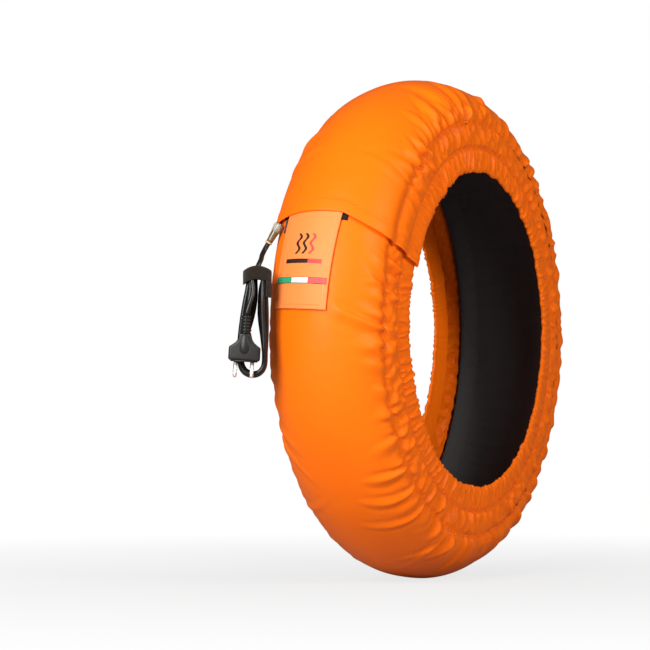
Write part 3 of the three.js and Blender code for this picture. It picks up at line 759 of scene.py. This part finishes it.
folds = tread_folds(angle, along, arc_marks, gather)
folds = np.where(folds > 0, folds, 2.4 * np.tanh(folds / 2.4))
under_tab = smoothstep(angle, 358, 364) * smoothstep(station_across, -40, -30)[None, :]
overlap = smoothstep(angle, 380, 385)
folds *= 1 - 0.85 * np.maximum(under_tab, overlap)
hem_bulge = 0.55 * smoothstep(HEM_WIDTH + 0.8 - row_offset, 0, 1.4) * top_rows
stitch_dip = 0.5 * np.exp(-((row_offset - HEM_WIDTH + 1.2) / 1.1) ** 2) * top_rows
seam_away = np.minimum(arc_marks, BAND_ARC - arc_marks)
seam_dip = 0.7 * np.exp(-((seam_away - 3.4) / 1.3) ** 2)
height = (
    lift_at(angle) + row_height[:, None] + folds + (hem_bulge - stitch_dip)[:, None]
    - seam_dip[None, :]
)
hem_rest = 1 - smoothstep(row_offset, HEM_WIDTH, HEM_WIDTH + 10)
hem_wave = 0.35 * waves(np.broadcast_to(station_across, angle.shape), 17, 91) * hem_rest[:, None]
height += hem_wave
tread_points = raised(np.broadcast_to(stations, angle.shape), height, angle)
for away, side in ((arc_marks, 0), (BAND_ARC - arc_marks, 1)):
    drawn = gather * seam_wobble(along, away[None, :], side)
    tread_points += on_ring(drawn, 0.0, angle)
rows, cols = angle.shape
uv = np.stack([np.broadcast_to(arc_marks, angle.shape), np.radians(angle) * CROWN_RADIUS], -1)
tread_cover = place_mesh(
    "tread_cover", tread_points.reshape(-1, 3), grid_faces(rows, cols)[:, ::-1],
    nylon, uv.reshape(-1, 2),
)
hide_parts("tread_panel")

# The side skirts
# Each is a strip sewn to the shoulder, pinched in by a stitched line and turned round the
# elastic at its hem. It is drawn up into radial folds, tightest in the casing.
skirt_keys = [
    (268.4, 73.2), (265.7, 73.9), (263.2, 74.8), (260.0, 76.4), (254.0, 78.6), (247.6, 79.7),
    (240.0, 79.7), (235.5, 79.0), (232.6, 78.2), (230.0, 78.8), (225.0, 79.9), (218.0, 81.2),
    (211.0, 82.0), (206.6, 81.5), (204.6, 80.2), (204.5, 78.7), (206.0, 77.5), (210.0, 76.8),
    (220.0, 74.6), (231.0, 72.5),
]
PINCH_RADIUS = 232.6
SKIRT_MIDDLE = 235.0
SKIRT_TUCK = 5.4
SKIRT_ROWS = 1180
SKIRT_END_ANGLE = 401.0
skirt_line = smooth_line(skirt_keys, 1.35)
skirt_arc = np.r_[0, np.cumsum(np.linalg.norm(np.diff(skirt_line, axis=0), axis=1))]
skirt_way = np.gradient(skirt_line, axis=0)
skirt_way /= np.linalg.norm(skirt_way, axis=1)[:, None]
skirt_out = np.stack([skirt_way[:, 1], -skirt_way[:, 0]], -1)
skirt_out[:, 0] *= smoothstep(skirt_arc, 2, 11)
skirt_out[:, 1] += 1 - smoothstep(skirt_arc, 2, 11)
skirt_out /= np.linalg.norm(skirt_out, axis=1)[:, None]
hem_column = int(np.argmin(skirt_line[:, 0]))
pinch_column = int(np.argmin(np.abs(skirt_line[:hem_column, 0] - PINCH_RADIUS)))
pinch_arc = float(skirt_arc[pinch_column]) - SKIRT_TUCK
hem_arc = float(skirt_arc[hem_column]) - SKIRT_TUCK


def skirt_folds(angle, along, seam_seed, seed):
    """Folds between the shoulder and the stitched line, and finer ones across the casing."""
    shape = angle.shape
    s = np.broadcast_to(np.maximum(skirt_arc[None, :] - SKIRT_TUCK, 0), shape)
    lean = 0.25 if seam_seed == 11 else -0.25
    at_seam = [(21, 18, 44, 5.8, 1.8, 4.4), (13, 9, 26, 3.8, 0.7, 1.9), (8, 5, 12, 2.4, 0.1, 0.4)]
    at_pinch = [(21, 18, 34, 5.6, 1.8, 4.6), (12, 9, 22, 3.4, 0.5, 1.6)]
    on_casing = [(11.5, 24, 46, 3.4, 1.6, 3.6), (7, 10, 24, 2.0, 0.5, 1.3)]
    at_hem = [(9, 10, 28, 2.6, 1.0, 2.6)]
    upper = puckers(along, s, at_seam, seam_seed, lean, -1.0)
    lower = puckers(along, pinch_arc - s, at_pinch, seed + 1, -0.3)
    window = 1 - smoothstep(s, pinch_arc - 4, pinch_arc)
    puff = 2.4 * waves(along, 44, seed + 2) + 1.8 * waves(along, 21, seed + 3)
    puff = puff * np.sin(np.clip(s / pinch_arc, 0, 1) * np.pi)
    cross = 1.3 * np.abs(waves_2d(along + 0.6 * s, s - 0.45 * along, 24, 13, seed + 4)) - 0.4
    cross = cross * smoothstep(s, 2, 9)
    panel = (upper + lower * smoothstep(s, 1, 8) + puff + cross) * window
    casing = puckers(along, s - pinch_arc, on_casing, seed + 5, 0.1)
    casing += puckers(along, hem_arc - s, at_hem, seed + 6, 0.1)
    past_hem = smoothstep(s, hem_arc, hem_arc + 8)
    casing = np.maximum(casing, -0.6) * smoothstep(s, pinch_arc, pinch_arc + 4) * (1 - past_hem)
    return panel + casing


def hem_scallop(along, seed):
    """How far the hem is drawn in or left out, in small scallops."""
    fine = np.abs(waves(along, 7.5, seed)) ** 0.8
    return 2.6 * fine + 1.3 * waves(along, 21, seed + 1)


def skirt(side, word, seam_angle, hem_angle, seam_seed, seed):
    """One skirt, which starts at an angle at its seam and at another at its hem."""
    share = np.linspace(0, 1, SKIRT_ROWS)[:, None]
    depth = (SHOULDER_RADIUS - skirt_line[:, 0]) / (SHOULDER_RADIUS - HEM_RADIUS)
    start = seam_angle + (hem_angle - seam_angle) * depth
    end = END_ANGLE + (SKIRT_END_ANGLE - END_ANGLE) * depth
    angle = start[None, :] + (end - start)[None, :] * share
    along = np.radians(angle) * SHOULDER_RADIUS
    gather = gather_share(angle)
    calm = 0.6 + 0.4 * np.minimum(strength_round(angle), 1)
    folds = skirt_folds(angle, along, seam_seed, seed) * (0.25 + 0.75 * gather) * calm
    in_casing = smoothstep(skirt_arc - SKIRT_TUCK, pinch_arc, hem_arc)[None, :]
    scallop = hem_scallop(along, seed + 20) * in_casing * (0.25 + 0.75 * gather)
    sag = 3.0 * depth[None, :] * np.maximum(0, np.sin(np.radians(angle)))
    edge_rows = (angle - start[None, :]) * np.radians(1) * SKIRT_MIDDLE
    hem_dip = 0.5 * np.exp(-((edge_rows - HEM_WIDTH + 1.2) / 1.2) ** 2)
    stitch = 0.6 * np.exp(-((skirt_arc - SKIRT_TUCK - pinch_arc) / 1.5) ** 2)[None, :]
    push = folds - hem_dip - stitch
    drawn = gather * seam_wobble(along, skirt_arc[None, :], 0 if side < 0 else 1)
    radius = skirt_line[None, :, 0] - sag - scallop + drawn + skirt_out[None, :, 0] * push
    across = skirt_line[None, :, 1] + lift_at(angle) + skirt_out[None, :, 1] * push
    points = on_ring(radius, side * across, angle)
    uv = np.stack([np.broadcast_to(skirt_arc, angle.shape), np.radians(angle) * SKIRT_MIDDLE], -1)
    faces = grid_faces(*angle.shape)
    piece = place_mesh(
        "skirt_cloth_" + word, points.reshape(-1, 3), faces if side < 0 else faces[:, ::-1],
        nylon, uv.reshape(-1, 2),
    )
    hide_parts("side_skirt_" + word)
    return piece, points


skirt_left, skirt_left_points = skirt(1, "left", 25.0, 24.0, 23, 41)
skirt_right, skirt_right_points = skirt(-1, "right", 22.0, 20.7, 11, 67)


# Stitching
# Each stitch is a short bent capsule of thread that dips into the cloth at both ends.
STITCH_PITCH = 3.7
STITCH_LENGTH = 2.5
STITCH_SIDES = 5


def stitches(name, rows_of_points, lift, paint, thick=0.42):
    """Stitches along lines of surface points, given with the way that the surface looks."""
    quads = grid_faces(4, STITCH_SIDES, closed=True).tolist()
    quads += [[4, 3, 2, 1, 0], [15, 16, 17, 18, 19]]
    parts = []
    for line, out in rows_of_points:
        along = np.r_[0, np.cumsum(np.linalg.norm(np.diff(line, axis=0), axis=1))]
        marks = np.arange(STITCH_PITCH, along[-1] - STITCH_PITCH, STITCH_PITCH)
        for mark in marks:
            spots, ways = [], []
            for share, sink in ((-0.5, -0.25), (-0.25, 0.16), (0.25, 0.16), (0.5, -0.25)):
                at = mark + share * STITCH_LENGTH
                spot = np.array([np.interp(at, along, line[:, n]) for n in range(3)])
                way = np.array([np.interp(at, along, out[:, n]) for n in range(3)])
                way /= np.linalg.norm(way)
                spots.append(spot + way * (lift + sink))
                ways.append(way)
            ahead = spots[-1] - spots[0]
            ahead /= np.linalg.norm(ahead)
            side = np.cross(ahead, ways[1])
            ring = []
            for spot, way, size in zip(spots, ways, (0.55, 1.0, 1.0, 0.55)):
                for a in np.linspace(0, 2 * np.pi, STITCH_SIDES, endpoint=False):
                    ring.append(spot + size * thick * (math.cos(a) * side + math.sin(a) * way))
            parts.append((np.array(ring), quads))
    points, faces = join(*parts)
    return place_mesh(name, points, faces, paint)


def normals_of(grid):
    """The way that each point of a grid looks."""
    across, down = np.gradient(grid, axis=1), np.gradient(grid, axis=0)
    out = np.cross(across, down)
    out /= np.maximum(np.linalg.norm(out, axis=-1), 1e-9)[..., None]
    return out


tread_normals = normals_of(tread_points)
middle = (rows // 2, cols // 2)
if tread_normals[middle] @ tread_points[middle] < 0:
    tread_normals = -tread_normals
SEAM_COLUMN = 4
STITCH_LIFT = 0.2
along_seam = slice(first_top_row + 1, rows - 6)
tread_runs = {
    "seam_thread_right": (along_seam, SEAM_COLUMN),
    "seam_thread_left": (along_seam, cols - 1 - SEAM_COLUMN),
    "flap_thread": (first_top_row + int(round(HEM_WIDTH / 1.2)) - 2, slice(5, -5)),
}
seam_thread_right, seam_thread_left, flap_thread = [
    stitches(name, [(tread_points[run], tread_normals[run])], STITCH_LIFT, thread)
    for name, run in tread_runs.items()
]
for side, word, grid in ((1, "left", skirt_left_points), (-1, "right", skirt_right_points)):
    out = normals_of(grid)
    if out[500, 10, 1] * side < 0:
        out = -out
    edge_line = np.argmin(
        np.abs(np.linalg.norm(np.diff(grid, axis=0), axis=-1).cumsum(0) - HEM_WIDTH + 1.2), axis=0
    )
    columns = np.arange(4, hem_column - 1)
    across_hem = (grid[edge_line[columns], columns], out[edge_line[columns], columns])
    round_casing = (grid[4:-4, pinch_column], out[4:-4, pinch_column])
    topstitch = (grid[58:112, 10], out[58:112, 10])
    stitches("casing_thread_" + word, [round_casing, across_hem, topstitch], 0.25, thread)

# The closure tab
# A doubled strap hangs from under the flap's edge, a little askew, with its edges turned in and
# stitched. It carries a plain mark of rising heat and a woven ribbon with three stripes.
TAB_WIDTH = 74.0
TAB_LENGTH = 122.0
TAB_TUCK = 9.0
TAB_LEAN = math.sin(math.radians(3))
TAB_MIDDLE = 7.3


def on_tab(across, down, height):
    """A point of the tab's face by its place across it and down from the flap's edge."""
    across, down, height = np.broadcast_arrays(across, down, height)
    middle = TAB_MIDDLE + TAB_LEAN * down
    angle = FLAP_ANGLE - np.degrees((down + TAB_LEAN * across) / CROWN_RADIUS)
    return raised(station_of(middle - across), height, angle)


def tab_swell(a, d):
    """The tab bows a little off the cover between its ends and curls at its lower corners."""
    curl = smoothstep(d, TAB_LENGTH - 62, TAB_LENGTH) * (2 * np.abs(a) / TAB_WIDTH) ** 2
    return 0.25 * waves_2d(a, d, 24, 30, 3) + 0.35 * curl


def flat_piece(width, top, foot, low, high, edge, steps):
    """A closed flat piece on the tab: its face and back meet in rounded edges."""
    def marks(start, end, count):
        rim = np.array([0, 0.06, 0.2, 0.45, 0.8, 1.0]) * edge
        between = np.linspace(start + edge, end - edge, count)[1:-1]
        return np.r_[start + rim, between, end - rim[::-1]]

    across = marks(-width / 2, width / 2, steps[0])
    down = marks(top, foot, steps[1])
    a, d = np.meshgrid(across, down)
    rim = np.minimum.reduce([a + width / 2, width / 2 - a, d - top, foot - d])
    swell = np.sqrt(np.clip(1 - (1 - np.clip(rim, 0, edge) / edge) ** 2, 0, 1))
    middle = (low + high) / 2
    half = (high - low) / 2
    bow = tab_swell(a, d)
    face = on_tab(a, d, middle + half * swell + bow)
    under = on_tab(a, d, middle - half * swell + bow)
    rows, cols = a.shape
    upper = grid_faces(rows, cols)
    lower = grid_faces(rows, cols, start=rows * cols)[:, ::-1]
    points = np.vstack([face.reshape(-1, 3), under.reshape(-1, 3)])
    uv = np.tile(np.stack([a, d], -1).reshape(-1, 2), (2, 1))
    return points, np.vstack([upper, lower]), uv, face


def weld(piece):
    """Joins the face and the back where they meet."""
    work = bmesh.new()
    work.from_mesh(piece.data)
    bmesh.ops.remove_doubles(work, verts=work.verts, dist=1e-5)
    bmesh.ops.recalc_face_normals(work, faces=work.faces)
    work.to_mesh(piece.data)
    work.free()


points, faces, uv, tab_face = flat_piece(
    TAB_WIDTH, -TAB_TUCK, TAB_LENGTH, 0.45, 2.4, 1.2, (34, 60)
)

# The tab's paint: its print, on cloth painted paler than the cover's nylon as a painted highlight.
print_and_highlight_paint = Paint("printed_tab_painted_highlight")
broad = print_and_highlight_paint.noise(14, detail=2.0)
fine = print_and_highlight_paint.noise(130, detail=4.0, roughness=0.6)
u, v = print_and_highlight_paint.cloth_uv()
wobble = (v * (2 * math.pi / 0.015)).sine() * 0.0021
tall = v.above(0.029) * v.below(0.055)
left_wave, middle_wave, right_wave = [
    (u - place - wobble).size().below(0.0019) * tall for place in (-0.0095, 0.0, 0.0095)
]
bar = v.above(0.061) * v.below(0.0665)
dark_bar = bar * u.above(-0.0245) * u.below(0.0075)
red_bar = bar * u.above(0.0075) * u.below(0.0255)
dark = left_wave.most(middle_wave).most(dark_bar)
red = right_wave.most(red_bar)
# Painted highlight: the tab's cloth is the cover's orange nylon painted paler and less saturated,
# where the tab faces the key lamp.
cloth = print_and_highlight_paint.blend(broad * 0.6 + fine * 0.4, (0.97, 0.21, 0.040), (1.0, 0.25, 0.060))
inked = print_and_highlight_paint.blend(red, cloth, (0.80, 0.055, 0.045))
inked = print_and_highlight_paint.blend(dark, inked, (0.022, 0.010, 0.008))
print_and_highlight_paint.set(Base_Color=inked, Roughness=fine * 0.14 + 0.46, Specular_IOR_Level=0.25)
print_and_highlight_paint.bump(weave(print_and_highlight_paint, 0.0011) * 0.1 + fine * 0.5, 0.3, 0.0008)
closure_strap = place_mesh("closure_strap", points, faces, print_and_highlight_paint, uv)
weld(closure_strap)
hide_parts("closure_tab")

tab_normals = normals_of(tab_face)
if tab_normals[20, 20, 0] > 0:
    tab_normals = -tab_normals
left_run = (tab_face[4:-7, 7], tab_normals[4:-7, 7])
right_run = (tab_face[4:-7, -8], tab_normals[4:-7, -8])
foot_run = (tab_face[-8, 7:-7], tab_normals[-8, 7:-7])
tab_thread = stitches("tab_thread", [left_run, foot_run], 0.12, thread, thick=0.36)
fold_thread = stitches("tab_fold_thread", [right_run], 0.12, pale_thread, thick=0.5)

LOOP_TOP_ANGLE = 40.0
LOOP_ROWS = 24
LOOP_COLS = 30
pad_across, pad_down = np.meshgrid(
    np.linspace(-36.5, 52.5, LOOP_COLS), np.linspace(0, 1, LOOP_ROWS)
)
pad_foot_angle = 23.8 - 2.1 * smoothstep(pad_across, 28, 36)
pad_angle = LOOP_TOP_ANGLE + (pad_foot_angle - LOOP_TOP_ANGLE) * pad_down
points = np.vstack([
    raised(station_of(pad_across), height, pad_angle).reshape(-1, 3) for height in (0.1, -1.1)
])
numbers = np.arange(LOOP_ROWS * LOOP_COLS).reshape(LOOP_ROWS, LOOP_COLS)
rim = np.r_[numbers[0], numbers[1:, -1], numbers[-1, -2::-1], numbers[-2:0:-1, 0]]
ahead = np.roll(rim, -1)
walls = np.stack([rim, ahead, ahead + numbers.size, rim + numbers.size], -1)
faces = np.vstack([
    grid_faces(LOOP_ROWS, LOOP_COLS),
    grid_faces(LOOP_ROWS, LOOP_COLS, start=numbers.size)[:, ::-1],
    walls,
])
loop_pad = place_mesh("loop_pad", points, faces, pile)
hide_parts("loop_base")
weld(loop_pad)

ribbon_paint = Paint("ribbon")
u, v = ribbon_paint.cloth_uv()
fibre = ribbon_paint.noise(500, detail=2.0)
green = ribbon_paint.blend(fibre, (0.0, 0.26, 0.10), (0.01, 0.38, 0.18))
white = ribbon_paint.blend(fibre, (0.78, 0.78, 0.76), (0.95, 0.95, 0.93))
scarlet = ribbon_paint.blend(fibre, (0.70, 0.035, 0.035), (0.88, 0.09, 0.08))
stripes = ribbon_paint.blend(u.above(-0.0113), green, white)
stripes = ribbon_paint.blend(u.above(0.0113), stripes, scarlet)
border = (v - 0.0874).size().above(0.0031)
edged = ribbon_paint.blend(border, stripes, (0.10, 0.03, 0.015))
ribbon_paint.set(Base_Color=edged, Roughness=0.6, Sheen_Weight=0.2)
ribbon_paint.bump(weave(ribbon_paint, 0.0006), 0.25, 0.0003)
points, faces, uv, _ = flat_piece(TAB_WIDTH - 4.6, 83.5, 91.3, 2.42, 3.1, 0.4, (40, 10))
stripe_ribbon = place_mesh("stripe_ribbon", points, faces, ribbon_paint, uv)
weld(stripe_ribbon)
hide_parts("woven_ribbon")

# The boot
# The flat lead runs into a heat-shrunk olive sleeve that tapers to a pale ring, with a loose
# clear sleeve round its head.
def along_boot(profile, sides=28, ripple=0.0, seed=0):
    """A turned piece on the boot's axis from (radius, length below its head) pairs."""
    points, faces = turned([(r, -z) for r, z in profile], sides)
    up = -boot_lean
    side = np.cross(up, [0, 1.0, 0])
    side /= np.linalg.norm(side)
    other = np.cross(up, side)
    around = np.arctan2(points[:, 1], points[:, 0])
    swell = 1 + ripple * waves_2d(around * 3, points[:, 2], 1.0, 2.6, seed)
    flat = points[:, :2] * swell[:, None]
    return boot_top + flat[:, :1] * side + flat[:, 1:] * other + points[:, 2:] * up, faces


boot_paint, smear = mottled("boot", 120, (0.055, 0.036, 0.014), (0.20, 0.135, 0.055))
boot_paint.set(Roughness=smear * 0.2 + 0.22, Coat_Weight=0.4)
boot_paint.bump(boot_paint.noise(300), 0.3, 0.0006)
profile = [(0.01, -1.0), (4.2, -0.9), (4.9, 0.0), (5.0, 4.0), (4.95, 8.0), (4.7, 13.0)]
profile += [(4.3, 18.0), (4.05, 22.0), (3.95, 25.0), (3.6, BOOT_LENGTH), (0.01, BOOT_LENGTH)]
points, faces = along_boot(profile, ripple=0.05, seed=2)
boot_shell = place_mesh("boot_shell", points, faces, boot_paint)
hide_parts("cable_boot")

clear_paint, haze = mottled("clear_vinyl", 140, (0.30, 0.24, 0.15), (0.72, 0.66, 0.56))
clear_paint.set(Roughness=0.12, Alpha=haze * 0.7 + 0.05)
clear_paint.bump(clear_paint.noise(260), 0.7, 0.0012)
profile = [(5.25, 0.4), (5.9, 0.3), (6.5, 1.2), (6.5, 4.0), (6.2, 6.5), (5.9, 9.0), (5.6, 11.0)]
profile += [(5.3, 11.0), (5.3, 9.0), (5.3, 5.0), (5.25, 0.4)]
points, faces = along_boot(profile, sides=32, ripple=0.035, seed=9)
boot_sleeve = place_mesh("boot_sleeve", points, faces[:-2], clear_paint)
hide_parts("clear_sleeve")

collar_paint, _ = mottled("boot_collar", 200, (0.52, 0.33, 0.16), (0.72, 0.50, 0.28))
collar_paint.set(Roughness=0.35)
collar_paint.bump(collar_paint.noise(400), 0.2, 0.0003)
profile = [(0.01, 25.5), (4.0, 25.5), (4.5, 25.8), (4.6, 26.6), (4.4, 27.4), (3.4, 27.7)]
profile.append((0.01, 27.7))
points, faces = along_boot(profile)
boot_collar = place_mesh("boot_collar", points, faces, collar_paint)
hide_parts("boot_ring")

# The inside
# A black heat-proof cloth is sewn in at both shoulders over the wadding, quilted across along
# the heating cable's runs.
liner_paint, _ = mottled("liner", 500, (0.008, 0.008, 0.009), (0.032, 0.031, 0.032))
liner_paint.set(Roughness=0.78, Sheen_Weight=0.1)
liner_paint.bump(weave(liner_paint, 0.0018) * 0.6 + liner_paint.noise(70) * 0.8, 0.4, 0.0009)

LINER_START, LINER_END = 46.5, 404.0
LINER_DEPTH = 18.8
LINER_RADIUS = 302.0
LINER_FOOT = (268.0, 70.0)
QUILT_PITCH = 29.0
liner_across = np.linspace(-1, 1, 61)
liner_angle = np.linspace(LINER_START, LINER_END, 620)[:, None] + 0 * liner_across[None, :]
liner_along = np.radians(liner_angle - LINER_START) * LINER_RADIUS
foot_share = smoothstep(np.abs(liner_across), 0.86, 1.0)
radius, across, up, out = section_at(np.clip(liner_across * 1.16, -1, 1) * 56)
quilt = 1 - np.exp(-(1 - np.abs(np.cos(liner_along / QUILT_PITCH * np.pi))) * 7)
crease_across = np.broadcast_to(60 * liner_across, liner_angle.shape)
liner_height = lift_at(liner_angle) - LINER_DEPTH - 1.1 * quilt * (1 - foot_share)
liner_height += 0.35 * waves_2d(liner_angle * 5.3, crease_across, 14, 18, 5)
radius = radius + liner_height * up
across = across + liner_height * out
radius = radius + (LINER_FOOT[0] - radius) * foot_share
across = across + (np.sign(liner_across) * LINER_FOOT[1] - across) * foot_share
inner_points = on_ring(radius, across, liner_angle)
uv = np.stack([80 * liner_across + 0 * liner_angle, liner_angle * 5.3], -1)
liner_cloth = place_mesh(
    "liner_cloth", inner_points.reshape(-1, 3), grid_faces(*liner_angle.shape),
    liner_paint, uv.reshape(-1, 2),
)
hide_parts("inner_liner")

wadding_paint, felt = mottled(
    "wadding", 260, (0.60, 0.57, 0.50), (0.86, 0.84, 0.78), detail=5.0, roughness=0.65
)
wadding_paint.set(Roughness=0.95)
wadding_paint.bump(felt, 0.8, 0.002)
PAD_START, PAD_END = 52.0, 403.0
PAD_DEPTH = 8.4
PAD_HALF_THICKNESS = 4.3
PAD_COLS = 25
pad_angle = np.linspace(PAD_START, PAD_END, 360)
pad_ends = np.minimum(
    smoothstep(pad_angle, PAD_START, PAD_START + 2.5),
    1 - smoothstep(pad_angle, PAD_END - 2, PAD_END),
)
pad_round = np.sqrt(np.clip(1 - np.linspace(-1, 1, PAD_COLS) ** 8, 0, 1))
half_pad = PAD_HALF_THICKNESS * np.outer(0.3 + 0.7 * pad_ends, 0.35 + 0.65 * pad_round)
pad_angles = np.broadcast_to(pad_angle[:, None], half_pad.shape)
pad_stations = np.broadcast_to(np.linspace(-50, 50, PAD_COLS), half_pad.shape)
pad_middle = lift_at(pad_angles) - PAD_DEPTH
pad_top = raised(pad_stations, pad_middle + half_pad, pad_angles)
pad_foot = raised(pad_stations, pad_middle - half_pad, pad_angles)
loop = np.concatenate([pad_top, pad_foot[:, ::-1]], axis=1)
faces = capped_faces(*loop.shape[:2])
wadding = place_mesh("wadding_pad", loop.reshape(-1, 3), faces, wadding_paint)
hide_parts("insulation_pad")

# The pieces kept from the model
# Their shapes are right as they are, and they get the same detailed finishes as the rest.
elastic_paint, rib = mottled(
    "elastic", 600, (0.62, 0.60, 0.55), (0.88, 0.86, 0.82), detail=2.0
)
elastic_paint.set(Roughness=0.85)
elastic_paint.bump(rib, 0.5, 0.0006)
heater_paint, _ = mottled("heater", 150, (0.24, 0.045, 0.02), (0.42, 0.10, 0.05))
heater_paint.set(Roughness=0.45)
heater_paint.bump(heater_paint.noise(400), 0.3, 0.0004)
case_paint, smear = mottled("bimetal_case", 220, (0.48, 0.48, 0.47), (0.70, 0.70, 0.69))
case_paint.set(Metallic=1.0, Roughness=smear * 0.2 + 0.25)
finishes = {
    "hem_elastic_left": elastic_paint,
    "hem_elastic_right": elastic_paint,
    "heating_element": heater_paint,
    "thermostat": case_paint,
    "supply_lead": rubber,
    "flap_hook_strip": pile,
    "tab_hook": pile,
}
for node, paint in finishes.items():
    mesh = bpy.data.objects[node].data
    mesh.materials.clear()
    mesh.materials.append(paint.material)

# The floor, the light and the background
# A pale floor lies under the ring. It and the world are white where the camera sees them, and
# darker to most other light, so that the foot of the ring stays dark.
FLOOR_HEIGHT = -0.3215
FLOOR_REACH = 14.0
SHADOW_REACH = 0.35
SOFT_LIGHT = 0.1
floor_paint = Paint("floor")
floor_paint.set(Base_Color=(0.42, 0.42, 0.42), Roughness=0.9, Specular_IOR_Level=0.1)
glow = floor_paint.node("Emission", Color=(1.0, 1.0, 1.0), Strength=1.0)
seen = floor_paint.node("LightPath")
floor_place = floor_paint.node("TexCoord", output=3)
apart = floor_paint.node(
    "VectorMath", output=1, settings={"operation": "LENGTH"}, Vector=floor_place
)
far_off = ((apart - SHADOW_REACH) * 1.1).most(0.0).least(1.0)
mixed = floor_paint.node(
    "MixShader", Fac=seen * (far_off * 0.22 + 0.78),
    Shader=Value(floor_paint, floor_paint.shader.outputs[0]),
)
floor_paint.tree.links.new(glow.socket, mixed.socket.node.inputs[2])
floor_paint.tree.links.new(mixed.socket, floor_paint.end.inputs[0])
floor_mesh = bpy.data.meshes.new("floor")
corners = [(-1, -1), (1, -1), (1, 1), (-1, 1)]
floor_mesh.from_pydata(
    [(x * FLOOR_REACH, y * FLOOR_REACH, FLOOR_HEIGHT) for x, y in corners], [], [(0, 1, 2, 3)]
)
floor_mesh.materials.append(floor_paint.material)
floor = bpy.data.objects.new("floor", floor_mesh)
bpy.context.scene.collection.objects.link(floor)
floor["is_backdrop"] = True

world = bpy.data.worlds.new("studio")
world.use_nodes = True
bpy.context.scene.world = world
tree = world.node_tree
tree.nodes.clear()
path = tree.nodes.new("ShaderNodeLightPath")
either = tree.nodes.new("ShaderNodeMath")
either.operation = "MAXIMUM"
tree.links.new(path.outputs["Is Camera Ray"], either.inputs[0])
tree.links.new(path.outputs["Is Transmission Ray"], either.inputs[1])
choose = tree.nodes.new("ShaderNodeMixShader")
tree.links.new(either.outputs[0], choose.inputs[0])
for socket, strength in zip(choose.inputs[1:], (SOFT_LIGHT, 1.0)):
    sky = tree.nodes.new("ShaderNodeBackground")
    sky.inputs["Color"].default_value = (1.0, 1.0, 1.0, 1)
    sky.inputs["Strength"].default_value = strength
    tree.links.new(sky.outputs[0], socket)
end = tree.nodes.new("ShaderNodeOutputWorld")
tree.links.new(choose.outputs[0], end.inputs[0])


def lamp(name, place, target, size, power):
    """A soft oval lamp that faces a target."""
    data = bpy.data.lights.new(name, "AREA")
    data.shape = "ELLIPSE"
    data.size, data.size_y = size
    data.energy = power
    made = bpy.data.objects.new(name, data)
    made.location = place
    aim = Vector(target) - Vector(place)
    made.rotation_mode = "QUATERNION"
    made.rotation_quaternion = aim.to_track_quat("-Z", "Y")
    bpy.context.scene.collection.objects.link(made)


lamp("key", (-3.4, 0.1, 1.35), (-0.2, 0, 0.05), (1.5, 2.6), 172)
lamp("fill", (-1.1, -3.2, 1.6), (0, 0, 0), (1.3, 1.3), 76)

bpy.context.scene.view_settings.view_transform = "Standard"

# The sizes
# The box of the model after the dressing.
low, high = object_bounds()
